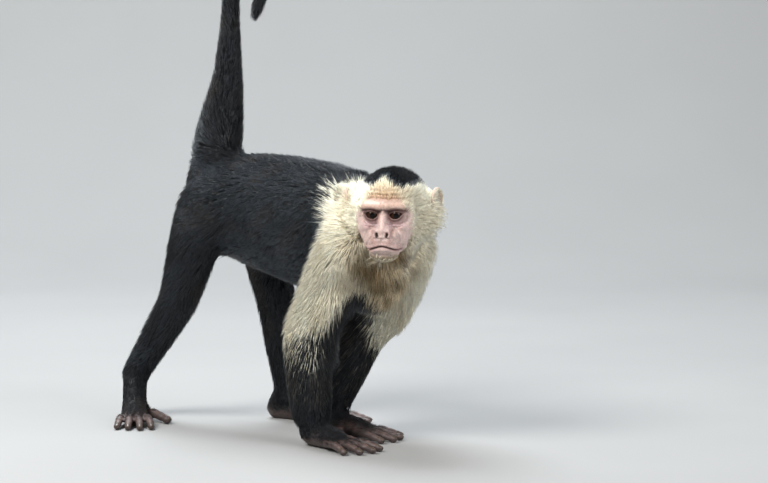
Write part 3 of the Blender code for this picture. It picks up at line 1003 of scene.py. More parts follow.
def dark_coat(places, light, chance):
    x, y, z = places.T
    cap = head_share(places) * blend(to_head(places)[:, 2], 14, 22)
    coat = mixed(np.tile(BLACK, (len(places), 1)), CAP_BLACK, cap)
    # painted light: brown inside the hind legs stands for light shining through the thin hair from behind
    backlit_inner_leg = blend(0.205 - z, 0, 0.02) * blend(y, 0.0, 0.03)
    backlit_inner_leg *= blend(24 * MM - np.abs(x - BODY_MIDDLE), 0, 10 * MM)
    # the slow waves of brown are random tone
    brown_and_backlight = np.clip(0.75 * backlit_inner_leg + 0.22 * blend(waves(places, 55, 21), 0.2, 0.9), 0, 1)
    coat = mixed(coat, BROWN, brown_and_backlight * (1 - cap))
    fore = blend(-0.040 - y, 0, 0.008) * blend(0.135 - z, 0, 0.02) * blend(z, 0.03, 0.06)
    grizzle = np.maximum(blend(light, 0.02, 0.3) * (chance < 0.25), 0.8 * fore * (chance < 0.16))
    return mixed(coat, GREY, 0.5 * grizzle)


def coat_colour(places, chance):
    """The colour of the coat at these places. Chance, from 0 to 1, settles each lock near a border."""
    light = cream_share(places)
    is_cream = (light > 0.10 + 0.80 * chance)[:, None]
    return np.where(is_cream, pale_coat(places), dark_coat(places, light, chance))


EVEN_CHANCE = np.full(len(landmarks), 0.5)
print("shoulder, knee, crown:", np.round(coat_colour(landmarks, EVEN_CHANCE), 3).tolist())

# %% [markdown]
# ## The lie of the coat
# A groom is guided by a few lines along the body. Each guide says which piece of the coat it belongs to,
# which way the hair runs near it, how long a lock is and how wide. Combing every lock by hand would take
# days, and one rule for the whole body would miss how hair turns at a joint. The hair runs back along the
# trunk, down the limbs and along the tail.

# %% Guides for the lie, length and width of the locks
GUIDES = []  # piece, start and end in metres, flow, length and width in mm


def guide(piece, start, end, flow, length, width):
    start, end, flow = (np.asarray(value, float) for value in (start, end, flow))
    GUIDES.append((piece, start * MM, end * MM, flow / np.linalg.norm(flow), length, width))


def trunk_guides(piece, side):
    top, flank, low, rump = (SPINE + side * aside for aside in (14, 46, 34, 16))
    guide(piece, (top, -87, 268), (top, 89, 262), (side * 0.1, 1, -0.1), 17, 1.5)
    guide(piece, (flank, -63, 215), (flank, 67, 218), (side * 0.1, 0.85, -0.5), 19, 1.6)
    guide(piece, (low, -53, 158), (low, 57, 168), (0, 0.85, -0.35), 17, 1.6)
    guide(piece, (rump, 109, 240), (rump + side * 4, 105, 190), (side * 0.2, 0.3, -1), 16, 1.5)


def mantle_guides(piece, side, shoulder, elbow):
    arm = (elbow - shoulder) / np.linalg.norm(elbow - shoulder)
    bib, collar = SPINE + side * 14, SPINE + side * 34
    cape = (shoulder + (side * 14, 0, 22), shoulder + (side * 18, 8, -10))
    guide(piece, *cape, (side * 0.2, 0.45, -0.85), 23, 1.7)
    guide(piece, shoulder, elbow, arm + (side * 0.1, 0.25, 0), 22, 1.6)
    guide(piece, (bib, -155, 206), (bib, -131, 138), (side * 0.15, 0.1, -1), 22, 1.7)
    guide(piece, (collar, -115, 240), (collar + side * 6, -101, 220), (side * 0.45, 0.4, -0.6), 24, 1.7)


def limb_guides(word, side):
    elbow, wrist = JOINTS["elbow_" + word] / MM, JOINTS["wrist_" + word] / MM
    hip, knee, ankle = (JOINTS[part + word] / MM for part in ("hip_", "knee_", "ankle_"))
    fore, thigh, shank = wrist - elbow, knee - hip, ankle - knee
    guide("arms", elbow + fore * 0.05, wrist, fore + (0, 10, 0), 15, 1.25)
    guide("arms", wrist - (0, 4, 6), wrist - (0, 40, 16), (0, -1, -0.25), 6.5, 0.75)
    leg = "leg_" + word
    guide(leg, hip + (side * 8, 6, 0), knee, thigh / np.linalg.norm(thigh) + (0, 0.35, 0), 18, 1.5)
    guide(leg, knee, ankle, shank + (0, 12, 0), 14, 1.2)
    toes = np.array((math.sin(FOOT_TURNS[word]), -math.cos(FOOT_TURNS[word]), -0.12))
    guide(leg, ankle - (0, 0, 12), ankle + toes * 48 - (0, 0, 16), toes, 6.5, 0.75)


for word, side in SIDES.items():
    trunk_guides("trunk_" + word, side)
    mantle_guides("mantle_" + word, side, JOINTS["shoulder_" + word] / MM, JOINTS["elbow_" + word] / MM)
    limb_guides(word, side)
for place, after in zip(TAIL, TAIL[1:]):
    guide("tail", place / MM, after / MM, after - place, 14, 1.25)
PIECES = sorted({row[0] for row in GUIDES}) + ["cheeks", "cap"]
print(len(GUIDES), "guides for the pieces", PIECES)

# %% [markdown]
# An ear has short hair on its rim and back and none in its bowl, so two rules say where an ear and its
# bowl are. The skin's colours use them too.

# %% Where the ears are
def ear_share(places, low, high):
    """1 on the ears, fading to 0 off them."""
    share = np.zeros(len(places))
    for side in SIDES.values():
        e, _ = in_ear(places, side)
        on_ear = np.hypot(e[:, 1] / 12.5, e[:, 2] / 15) + np.abs(e[:, 0]) / 14
        share = np.maximum(share, 1 - blend(on_ear, low, high))
    return share


def ear_bowl(places):
    """1 inside the bare bowl of an ear, 0 on its rim, its back and elsewhere."""
    share = np.zeros(len(places))
    for side in SIDES.values():
        e, _ = in_ear(places, side)
        bowl = 1 - blend(np.hypot(e[:, 1] / 9.0, e[:, 2] / 11.8), 0.76, 0.98)
        share = np.maximum(share, bowl * (np.abs(e[:, 0]) < 7) * (e[:, 0] * side > -1.5))
    return share


print("corners on the ears:", int((ear_share(places_of(skin), 1.0, 1.15) > 0.5).sum()))

# %% [markdown]
# A root takes its values from the guides near it, weighted by the fourth power of their distance, so that
# the nearest one rules. On the head the hair runs away from the face on every side instead, and its
# length grows from a few millimetres at the face's rim to the long ruff on the cheeks. Slow waves sway
# the flow a little, because a combed coat is never quite straight.

# %% Comb the coat
FACE_MIDDLE = (0, -40, -6)  # mm in the head's axes: the head's hair runs away from here
BODY_NARROWING = 0.68  # locks on the body are this much narrower than their guides say


def head_sizes(places, h):
    """The length and width of a lock on the head, in mm."""
    ruff = 3.2 + 23 * blend(np.linalg.norm(h - (0, -34, -8), axis=1), 24, 58)
    crown = blend(h[:, 2], 15, 24)
    ruff = ruff * (1 - crown) + (3.6 + 6.5 * blend(h[:, 2], 17, 36)) * crown
    beard = blend(-h[:, 2], 33, 38) * blend(-h[:, 1], 22, 28)
    ruff = np.maximum(ruff, 5.5 * beard)
    ruff = np.minimum(ruff, 11 + 40 * (1 - ear_share(places, 1.15, 1.4)))
    return np.stack((ruff, (0.40 + 0.030 * ruff) * (1 - 0.35 * beard)), axis=1)


def head_flow(h):
    out = h - FACE_MIDDLE
    out /= np.linalg.norm(out, axis=1)[:, None]
    out = out + np.array((0, 0.15, 0)) + np.array((0, 0, -0.35)) * blend(-h[:, 2], -8, 20)[:, None]
    return out @ HEAD_AXES.T


def groom(places, normals):
    """For each root: which piece it is in, the flow of its hair, and its length and width in mm."""
    weight = np.array([(near_segment(places, row[1], row[2])[0] + 2 * MM) ** -4.0 for row in GUIDES])
    names = np.array([row[0] for row in GUIDES])[weight.argmax(axis=0)]
    weight /= weight.sum(axis=0)
    flow = weight.T @ np.array([row[3] for row in GUIDES])
    size = weight.T @ np.array([row[4:6] for row in GUIDES])
    h = to_head(places)
    share = head_share(places)
    flow = flow * (1 - share[:, None]) + head_flow(h) * share[:, None]
    size = size * (1 - share[:, None]) + head_sizes(places, h) * share[:, None]
    swirl = np.stack([waves(places, 34, seed) for seed in (31, 32, 33)], axis=1)
    sway = 0.14 + 0.14 * (places[:, 1:2] > -0.04)
    flow = flow / np.linalg.norm(flow, axis=1)[:, None] + sway * swirl
    flow -= normals * (flow * normals).sum(axis=1)[:, None]
    flow /= np.maximum(np.linalg.norm(flow, axis=1), 1e-6)[:, None]
    on_head = share > 0.5
    names = np.where(on_head, np.where(cream_share(places) > 0.5, "cheeks", "cap"), names)
    hem = bell((mantle_edge(places[:, 2]) - places[:, 1]) / MM, 20) * blend(places[:, 2], 0.15, 0.18)
    length = size[:, 0] * (1 - 0.5 * hem * (1 - share))
    return names, flow, length, np.where(on_head, size[:, 1], size[:, 1] * BODY_NARROWING)


_, _, length, width = groom(landmarks, np.tile((0.0, 0.0, 1.0), (len(landmarks), 1)))
print("locks at shoulder, knee and crown:", np.round(length, 1).tolist(), "mm long")

# %% [markdown]
# A lock is a flattened cone with three sides, cut once across so that it can bend. Real hair is far
# finer, but a lock stands for a tuft of it, and overlapping tufts read as fur. One is made with
# operators, and every lock of the coat is a copy of it, laid by arithmetic along its own curved line.

# %% One lock
LOCK_WAIST = 0.5  # where along its length it is cut


def lock_template():
    shape = bmesh.new()
    bmesh.ops.create_cone(shape, cap_ends=True, segments=3, radius1=0.5, radius2=0, depth=1)
    bmesh.ops.translate(shape, verts=shape.verts, vec=(0, 0, 0.5))
    everything = shape.verts[:] + shape.edges[:] + shape.faces[:]
    waist = (0, 0, LOCK_WAIST)
    bmesh.ops.bisect_plane(shape, geom=everything, dist=1e-5, plane_co=waist, plane_no=(0, 0, 1))
    bmesh.ops.triangulate(shape, faces=shape.faces)
    bmesh.ops.recalc_face_normals(shape, faces=shape.faces)
    spots = np.array([vert.co[:] for vert in shape.verts])
    faces = np.array([[vert.index for vert in face.verts] for face in shape.faces])
    shape.free()
    up = spots[:, 2]
    # A leaf's outline, not a cone's: full to half its length, then narrowing to the tip.
    fuller = np.where(up < 0.99, (1 - up**1.8) / np.maximum(1 - up, 1e-3), 1)
    spots[:, :2] *= np.where(up > 0.01, np.minimum(fuller, 1.9), 1)[:, None]
    return spots, faces


LOCK, LOCK_FACES = lock_template()
print("a lock has", len(LOCK_FACES), "triangles")

# %% [markdown]
# ## Roots
# Roots are strewn over the skin by area, with a density that is high where the hair is short and none on
# the bare face, ears and soles. Stepping evenly through the summed area, with one random start in each
# step, spreads them better than plain chance.

# %% Where hair grows
def near_digits(places):
    """1 on the bare ends of the fingers and toes, fading to 0 over the backs of the hands and feet."""
    reach = np.full(len(places), np.inf)
    for tip, _, _ in DIGITS:
        reach = np.minimum(reach, np.linalg.norm(places - tip * MM, axis=1))
    return 1 - blend(reach, 0.014, 0.036)


def hair_density(places, normals):
    """Locks per unit of area: 1 on the body, less at the face's rim, none on bare skin."""
    h = to_head(places)
    density = 1.0 + 0.9 * head_share(places)
    ragged = 1.6 * waves(places, 6, 51)
    fan = np.hypot(h[:, 0] / 25.0, (h[:, 2] + 13) / 32.0) + 0.03 * ragged
    front = h[:, 1] < -8 - 0.25 * np.abs(h[:, 0])
    mask = np.where(front, blend(fan, 0.93, 1.15), 1)
    forehead = blend(h[:, 2] + ragged, 13, 20) * (np.abs(h[:, 0]) < 30)
    mask = np.maximum(mask, front * forehead * 1.6)
    fuzz = front * blend(-h[:, 2] + ragged, 36, 41)
    mask = np.maximum(mask, 2.6 * fuzz)
    low = np.clip(places[:, 2], 0, 1)
    paw = blend(low, 0.006, 0.018) * (1 - near_digits(places)) * (normals[:, 2] > -0.3)
    paw = np.where(low < 0.034, 1.5 * paw, 1)
    ear = (1 - ear_bowl(places)) * (1 - 0.4 * ear_share(places, 0.95, 1.2))
    return density * mask * paw * ear


skin_density = hair_density(places_of(skin), normals_of(skin))
print("share of the skin's corners that are bare:", round(float((skin_density < 0.05).mean()), 2))

# %% Strew the roots
LOCKS = 148000
RNG = np.random.default_rng(7)


def strewn_roots(thing, count):
    """Roots on the thing's surface, its normals there, and the furry area in all."""
    _, faces = tree_of(thing)
    spots, directions = places_of(thing), normals_of(thing)
    a, b, c = (spots[faces[:, k]] for k in range(3))
    area = np.linalg.norm(np.cross(b - a, c - a), axis=1) / 2
    normal = directions[faces].mean(axis=1)
    area = area * hair_density((a + b + c) / 3, normal)
    total = np.cumsum(area)
    picks = (np.arange(count) + RNG.random(count)) * total[-1] / count
    chosen = np.minimum(np.searchsorted(total, picks), len(faces) - 1)
    u, v = RNG.random(count), RNG.random(count)
    flip = u + v > 1
    u, v = np.where(flip, 1 - u, u), np.where(flip, 1 - v, v)
    shares = np.stack((1 - u - v, u, v), axis=1)
    roots = (spots[faces[chosen]] * shares[:, :, None]).sum(axis=1)
    normals = (directions[faces[chosen]] * shares[:, :, None]).sum(axis=1)
    normals /= np.linalg.norm(normals, axis=1)[:, None]
    return roots, normals, total[-1]


roots, root_normals, furry_area = strewn_roots(skin, LOCKS)
print(f"{LOCKS} locks over {furry_area * 1e6:.0f} mm2")

# %% [markdown]
# Each lock starts just under the skin, rises, and bends over to lie along the coat. A curve with one
# middle point is enough for that. The groom gives its length and width, and chance varies both, since no
# two tufts are alike.

# %% The locks' lengths and directions
piece_of, flow, length, width = groom(roots, root_normals)
surface, _, room = envelope_side(roots)
room = np.clip(room, 0.8 * MM, 22 * MM)
length = length * MM * RNG.uniform(0.75, 1.2, LOCKS)
width = width * MM * RNG.uniform(0.8, 1.2, LOCKS)
stray = RNG.normal(size=(LOCKS, 3)) * 0.15
tips = roots + (flow + stray) * length[:, None] + root_normals * (0.8 * room)[:, None]
print("coat depth from", np.round(np.percentile(room, (5, 50, 95)) / MM, 1).tolist(), "mm")

# %% [markdown]
# Hair on a living animal draws together into clumps. Each lock finds the nearest leader and its tip moves
# a share of the way to the leader's tip, most of all on the trunk, where the hair hangs in strands.

# %% Draw the tips into clumps
CLUMP = 14  # locks to a clump
leaders = np.arange(LOCKS) % CLUMP == 0
lean = flow * length[:, None] * 0.3
clumps = KDTree(int(leaders.sum()))
for index in np.flatnonzero(leaders):
    clumps.insert(roots[index] + lean[index], int(index))
clumps.balance()
leader_of = np.array([clumps.find(spot)[1] for spot in roots + lean])
strands = np.where(np.char.startswith(piece_of.astype(str), "trunk"), 0.32, 0.0)
near_leader = np.exp(-np.linalg.norm(roots[leader_of] - roots, axis=1) / (9 * MM))
pull = (RNG.uniform(0.10, 0.40, LOCKS) + strands) * near_leader
tips += (tips[leader_of] - tips) * pull[:, None]
print(int(leaders.sum()), "clumps")

# %% [markdown]
# The coat must end where the solids end, or the animal would come out too fat. So each tip is set against
# the envelope, a random share of the coat's depth below it, and the middle of the curve is kept inside as
# well.

# %% Set the locks against the envelope
nearest, facing, depth = envelope_side(tips)
sink = np.minimum(room, 11 * MM) * np.clip(RNG.normal(0.18, 0.18, LOCKS), 0.0, 0.7)
lowered = nearest - facing * sink[:, None]
raised = tips + facing * ((depth - sink) * 0.6)[:, None]
tips = np.where((depth < sink)[:, None], lowered, raised)
bend = roots + (tips - roots) * 0.42 + root_normals * (room * 0.42)[:, None]
nearest, facing, depth = envelope_side(bend)
high = depth < 0.12 * room
bend = np.where(high[:, None], nearest - facing * (0.12 * room)[:, None], bend)
print(int(high.sum()), "locks lowered at the bend")

# %% [markdown]
# Two places need their own rule. Long hair fills the narrow space between the arms and the chest, where
# light would otherwise shine through. Where the coat is very short, the skin could swallow a lock, so it
# is lifted until it shows.

# %% Between the arms, and over short hair
SHORT = 3.5 * MM
inner_arm = np.zeros(LOCKS)
for word in SIDES:
    offset, far = arm_offset(roots, word)
    zone = blend(offset, 2, 10) * (far < 0.036) * blend(roots[:, 2], 0.080, 0.100)
    inner_arm = np.maximum(inner_arm, zone * blend(0.170 - roots[:, 2], 0, 0.020))
tips += facing * (8.5 * MM * inner_arm)[:, None]
bend += facing * (6 * MM * inner_arm)[:, None]
skin_tree, _ = tree_of(skin)
for index in np.flatnonzero(room < SHORT):
    for line, height in ((tips, 1.3), (bend, 0.9)):
        spot, normal, _, _ = skin_tree.find_nearest(line[index])
        above = (line[index] - spot) @ normal
        if above < height * MM:
            line[index] += np.array(normal) * (height * MM - above)
starts = roots - root_normals * 0.6 * MM
print(int((inner_arm > 0).sum()), "locks between the arms,", int((room < SHORT).sum()), "in short hair")

# %% [markdown]
# ## A map for each piece
# Every coat piece carries a UV map in which a lock is one small patch at its root's place. The map comes
# from the skin itself: the faces under the piece are copied, unwrapped with Smart UV Project, and each
# root looks up its place on that unwrap.

# %% Unwrap the skin under a piece
PROXY_SHARE = 0.09  # of the skin's triangles: a map needs no more
proxy = skin.copy()
proxy.data = skin.data.copy()
proxy.name = "proxy"
bpy.context.scene.collection.objects.link(proxy)
proxy.vertex_groups.clear()
thin = proxy.modifiers.new("thin", "DECIMATE")
thin.ratio = PROXY_SHARE
proxy = applied(proxy)
proxy_tree, proxy_faces = tree_of(proxy)
proxy_spots = places_of(proxy)


def triangle_shares(triangles, spots):
    """How near each spot lies to each corner of its own triangle, as three shares."""
    a, b, c = (triangles[:, k] for k in range(3))
    e1, e2, w = b - a, c - a, spots - a
    d11, d12, d22 = ((p * q).sum(axis=1) for p, q in ((e1, e1), (e1, e2), (e2, e2)))
    d1w, d2w = (e1 * w).sum(axis=1), (e2 * w).sum(axis=1)
    below = np.maximum(d11 * d22 - d12 * d12, 1e-18)
    v = np.clip((d22 * d1w - d12 * d2w) / below, 0, 1)
    s = np.clip((d11 * d2w - d12 * d1w) / below, 0, 1)
    shares = np.stack((np.clip(1 - v - s, 0, 1), v, s), axis=1)
    return shares / shares.sum(axis=1)[:, None]


def unwrapped_places(spots):
    """Where each spot lies on an unwrap of the skin's faces under all these spots."""
    owner = np.array([proxy_tree.find_nearest(spot)[2] for spot in spots])
    used, local = np.unique(owner, return_inverse=True)
    mesh = bpy.data.meshes.new("patch")
    mesh.from_pydata(proxy_spots.tolist(), [], proxy_faces[used].tolist())
    patch = bpy.data.objects.new("patch", mesh)
    bpy.context.scene.collection.objects.link(patch)
    bpy.ops.object.select_all(action="DESELECT")
    patch.select_set(True)
    bpy.context.view_layer.objects.active = patch
    bpy.ops.object.mode_set(mode="EDIT")
    bpy.ops.mesh.select_all(action="SELECT")
    bpy.ops.mesh.remove_doubles(threshold=1e-6)
    bpy.ops.uv.smart_project(angle_limit=math.radians(66), island_margin=0.004)
    bpy.ops.object.mode_set(mode="OBJECT")
    corner_uv = numbers(mesh.uv_layers.active.data, "uv", 2).reshape(-1, 3, 2)
    kept = numbers(mesh.vertices, "co", 3).astype(float)
    triangles = kept[numbers(mesh.loops, "vertex_index", 1, np.int32).reshape(-1, 3)]
    bpy.data.objects.remove(patch)
    shares = triangle_shares(triangles[local], spots)
    return (corner_uv[local] * shares[:, :, None]).sum(axis=1)


print("unwrap guide:", len(proxy_faces), "faces")

# %% [markdown]
# ## The pieces of the coat
# Every lock draws one chance that settles its colour and one tone, so that neighbours differ as real tufts
# do. Dark locks are streaked besides, in long waves along the body: painted sheen over a random tone,
# because a black coat seldom shines evenly.

# %% Colour the locks
lock_chance = RNG.random(LOCKS)
lock_tone = RNG.normal(1.0, 0.11, LOCKS)
colours = coat_colour(surface, lock_chance) * lock_tone[:, None]
pale = blend(colours.sum(axis=1), 0.3, 0.9)
# painted sheen: dark locks lighter and darker in long streaks along the body, over a random tone for each
# lock
streak = np.exp(RNG.normal(0, 0.35, LOCKS) + 0.42 * waves(roots * (1, 0.35, 1), 9, 61))
colours *= np.where(pale < 0.5, streak, 1)[:, None]
print("share of pale locks:", round(float((pale > 0.5).mean()), 2))

# %% [markdown]
# The locks of one piece become one mesh. Every corner of the one lock is moved by arithmetic: its height
# goes along the curve, and its two other coordinates go across it, so that the lock lies flat on the
# coat. A lock is darker at its root, as shade between the hairs makes it.

# %% One piece of the coat
PATCH = 0.003  # the side of a lock's patch on the map


def lock_corners(members):
    """The corners of these locks, one row for each lock."""
    t = LOCK[:, 2][None, :, None]
    start, mid, end = (line[members][:, None, :] for line in (starts, bend, tips))
    line = start * (1 - t) ** 2 + mid * 2 * t * (1 - t) + end * t**2
    heading = (mid - start) * (1 - t) + (end - mid) * t
    heading /= np.maximum(np.linalg.norm(heading, axis=2), 1e-9)[:, :, None]
    aside = np.cross(heading, root_normals[members][:, None, :])
    aside /= np.maximum(np.linalg.norm(aside, axis=2), 1e-9)[:, :, None]
    over = np.cross(aside, heading)
    wide = width[members][:, None, None]
    across, through = (LOCK[:, k][None, :, None] * wide for k in (0, 1))
    return line + aside * across + over * through * 0.5


def lock_tints(members):
    """The colour of each corner, with a fourth value of 1."""
    base = 0.52 + 0.43 * pale[members][:, None]
    shade = base + (1.06 - base) * LOCK[:, 2][None, :] ** 0.7
    tint = colours[members][:, None, :] * shade[:, :, None]
    return np.concatenate((np.clip(tint, 0, 1), np.ones((len(members), len(LOCK), 1))), axis=2)


def coat_piece(name, members):
    """One mesh of all these locks, with their colours and their map."""
    count = len(members)
    mesh = bpy.data.meshes.new(name)
    corner = (LOCK_FACES[None, :, :] + (np.arange(count) * len(LOCK))[:, None, None]).ravel()
    mesh.vertices.add(count * len(LOCK))
    mesh.vertices.foreach_set("co", lock_corners(members).astype(np.float32).ravel())
    mesh.loops.add(len(corner))
    mesh.loops.foreach_set("vertex_index", corner.astype(np.int32))
    mesh.polygons.add(count * len(LOCK_FACES))
    mesh.polygons.foreach_set("loop_start", np.arange(0, len(corner), 3, dtype=np.int32))
    mesh.update(calc_edges=True)
    mesh.polygons.foreach_set("use_smooth", np.ones(count * len(LOCK_FACES), bool))
    layer = mesh.attributes.new("Coat", "FLOAT_COLOR", "POINT")
    layer.data.foreach_set("color", lock_tints(members).astype(np.float32).ravel())
    patch = np.stack((LOCK[:, 0] * PATCH, (LOCK[:, 2] - 0.5) * PATCH), axis=1)
    uv = np.clip(unwrapped_places(roots[members])[:, None, :] + patch[None, :, :], 0.0, 1.0)
    uv_layer = mesh.uv_layers.new(name="OFBake")
    uv_layer.data.foreach_set("uv", uv.reshape(-1, 2)[corner].astype(np.float32).ravel())
    mesh.validate()
    made = bpy.data.objects.new(name, mesh)
    bpy.context.scene.collection.objects.link(made)
    return made


print("each lock has", len(LOCK), "corners")

# %% [markdown]
# A piece with too many triangles would be thinned when the model is kept, and thinned hair looks torn. A
# large piece is split by height into bunches, so that no one mesh holds too many triangles.

# %% Build the pieces of the coat
MOST_LOCKS = 19500  # 10 triangles each
COAT = {}
for piece in PIECES:
    members = np.flatnonzero(piece_of == piece)
    if len(members) == 0:
        continue
    parts = math.ceil(len(members) / MOST_LOCKS)
    members = members[np.argsort(roots[members, 2], kind="stable")]
    for number, bunch in enumerate(np.array_split(members, parts)):
        name = f"Coat_{piece}" + (f"_{number + 1}" if parts > 1 else "")
        COAT[name] = coat_piece(name, bunch)
        print(name, len(bunch), "locks,", len(COAT[name].data.polygons), "triangles")
bpy.data.objects.remove(proxy)

# %% [markdown]
# ## Eyes
# A capuchin's eye is nearly all iris, dark brown, with a clear dome over it that catches the light. Half
# a profile is drawn from the dome to the back of the ball and spun round the line of sight. Each vertex
# keeps its angle from that line, and the material paints pupil, iris and rim by that angle.

# %% Spin the eyes
GAZE_ASIDE = math.radians(9)  # towards the monkey's left
GAZE_DOWN = math.radians(2)
EYE_STEPS = 40  # along the profile, and round the line of sight
DOME = 0.75  # mm that the clear dome stands off the ball


def eye_profile(shape):
    """Half an eye's outline, from the front of the dome to the back of the ball."""
    profile = []
    for step in range(EYE_STEPS + 1):
        angle = math.pi * step / EYE_STEPS
        dome = DOME * math.exp(-((angle / math.radians(30)) ** 4))
        reach = (EYE_RADIUS - 0.05 + dome) * MM
        profile.append(shape.verts.new((reach * math.sin(angle), -reach * math.cos(angle), 0)))
    for a, b in zip(profile, profile[1:]):
        shape.edges.new((a, b))


def from_sight(place):
    """The angle in degrees between a place on the ball and the line of sight."""
    return math.degrees(math.acos(max(-1.0, min(1.0, -place.normalized().y))))


def eye_piece(word, side):
    shape = bmesh.new()
    eye_profile(shape)
    bmesh.ops.spin(shape, geom=shape.verts[:] + shape.edges[:], cent=(0, 0, 0), axis=(0, 1, 0),
                   angle=2 * math.pi, steps=EYE_STEPS, use_merge=True, use_duplicate=False)
    bmesh.ops.remove_doubles(shape, verts=shape.verts, dist=0.004 * MM)
    bmesh.ops.recalc_face_normals(shape, faces=shape.faces)
    angles = [from_sight(vert.co) for vert in shape.verts]
    look = Matrix.Rotation(GAZE_ASIDE, 4, "Z") @ Matrix.Rotation(GAZE_DOWN, 4, "X")
    shape.transform(HEAD @ Matrix.Translation(Vector((side * EYE_ASIDE, -EYE_FORWARD, 0)) * MM) @ look)
    made = mesh_object("Eye_" + word, shape)
    layer = made.data.attributes.new("From_sight", "FLOAT", "POINT")
    layer.data.foreach_set("value", angles)
    shade_smooth(made)
    return made


EYES = {word: eye_piece(word, side) for word, side in SIDES.items()}
print("each eye has", len(EYES["left"].data.polygons), "faces")

# %% [markdown]
# ## Nails
# Capuchins have nails, not claws: narrow, dark and curved across. One is a small grid bent over an arch,
# given a thickness, and set on the end of each finger and toe. All of them are one joined mesh.

# %% Bend the nails
def add_nail(body, tip, heading, radius):
    shape = bmesh.new()
    bmesh.ops.create_grid(shape, x_segments=7, y_segments=8, size=0.5)
    for vert in shape.verts:
        x, y = vert.co.x * 2, vert.co.y * 2
        ahead = max(0, -y)
        half = radius * 0.62 * (1 - 0.30 * ahead**3)
        arch = -0.30 * radius * x * x - 0.22 * radius * ahead**2
        vert.co = Vector((x * half, y * radius * 0.95, arch)) * MM
    bmesh.ops.recalc_face_normals(shape, faces=shape.faces)
    if sum(face.normal.z for face in shape.faces) < 0:
        bmesh.ops.reverse_faces(shape, faces=shape.faces)
    bmesh.ops.solidify(shape, geom=shape.faces, thickness=0.45 * MM)
    bmesh.ops.recalc_face_normals(shape, faces=shape.faces)
    lift = Vector((tip[0], tip[1], tip[2] + radius * 0.82)) * MM
    forward = Vector((math.sin(heading), -math.cos(heading), 0)) * radius * 0.25 * MM
    slope = Matrix.Rotation(heading, 4, "Z") @ Matrix.Rotation(math.radians(20), 4, "X")
    shape.transform(Matrix.Translation(lift + forward) @ slope)
    add_shape(body, shape)


nail_shape = bmesh.new()
for tip, heading, radius in DIGITS:
    add_nail(nail_shape, tip, heading, radius)
nails = mesh_object("Nails", nail_shape)
shade_smooth(nails)
print(len(DIGITS), "nails")

# %% [markdown]
# ## Colour of the skin
# Under the fur the skin takes the coat's own marking, darkened as painted shade under the hair. The face is
# pink, paler on the brow, mauve under the eyes and browner on the forehead, with dark lids, and with painted
# shade in its creases, hollows and nostrils, round the eyes under the brow bar and between the lips. The
# hands and feet are a dark, pinkish brown that is lighter where the skin faces upwards.

# %% Tones, lines and painted shade of the face
PINK = np.array((0.575, 0.43, 0.39))
PALE_BROW = np.array((0.51, 0.35, 0.275))
TAN = np.array((0.62, 0.42, 0.27))
MAUVE = np.array((0.50, 0.345, 0.345))
# the lids' own dark colour, used also for painted shade round the eyes and under the brow bar
LID_AND_SHADE = np.array((0.15, 0.078, 0.068))
# painted shade between the lips
LIP_SHADE_LINE = np.array((0.07, 0.032, 0.030))
# painted shade inside the nostrils
NOSTRIL_SHADE = np.array((0.025, 0.012, 0.012))
# the chin's own yellowish colour, darkened as painted shade under the jaw
CHIN_AND_SHADE = np.array((0.22, 0.168, 0.11))
# painted shade in the forehead's wrinkles
WRINKLE_SHADE = TAN * (0.62, 0.52, 0.45)
EYE_AND_BROW_TONES = [  # colour, share, path and width, as for the carver's strokes
    (MAUVE, 0.9, [(7, -8.5), (17, -9)], 3.8),  # under the eye
    (PINK * (1.12, 1.08, 1.06), 0.8, [(0, 2), (0, -12)], 3.4),  # the nose's bridge
    (PALE_BROW, 1.0, [(0, 9.5), (14, 10), (23, 8)], 4.4),  # the brow bar
]
WRINKLE_AND_MUZZLE_TONES = [
    # painted shade in the forehead's two wrinkles
    (WRINKLE_SHADE, 0.7, [(0, 15.2), (8, 15.8), (16, 15)], 0.8),  # the forehead's wrinkles
    (WRINKLE_SHADE, 0.6, [(0, 18.2), (7, 19), (14, 18.6)], 0.8),
    # painted shade in the hollow cheek
    (PINK * 0.72, 0.6, [(15, -20), (18, -31)], 3.6),  # the hollow cheek
    (PINK * (0.82, 0.72, 0.72), 0.6, [(0, -24), (9, -26), (14, -30)], 3.4),  # the upper lip
    # painted shadow of the nose beside it
    (PINK * (0.62, 0.50, 0.48), 0.65, [(8.4, -16), (9.4, -21), (7, -25)], 2.6),  # beside the nose
]
LINES = [
    (LID_AND_SHADE * 0.7, 0.95, [(2.5, 3.8), (12, 4.6), (20.5, 3.8)], 2.4),  # the shade of the brow bar
    # painted shade in the eye's inner corner
    (LID_AND_SHADE * 1.6, 0.5, [(4.6, -1), (6, -6)], 1.6),  # the eye's inner corner
    # painted shade between the lips
    (LIP_SHADE_LINE, 1.0, MOUTH, 0.95),  # between the lips
    (PINK * (0.55, 0.42, 0.42), 0.55, MOUTH, 2.2),  # the lips' edges
    # painted shade in the crease under the lower lip
    (PINK * 0.5, 0.6, [(0, -37), (8, -37.6)], 1.1),  # the crease under the lower lip
    # painted shade inside the nostril
    (NOSTRIL_SHADE, 1.0, [(5.0, -16.6), (4.3, -19.0)], 1.25),
    # painted shade under the nose
    (PINK * 0.5, 0.55, [(1, -21.2), (7, -20.6)], 1.2),  # under the nose
]


def stroked(face, h, strokes):
    """The face with each of these strokes painted over it in turn."""
    for colour, share, path, width in strokes:
        face = mixed(face, colour, share * bell(path_distance(h, path), width))
    return face


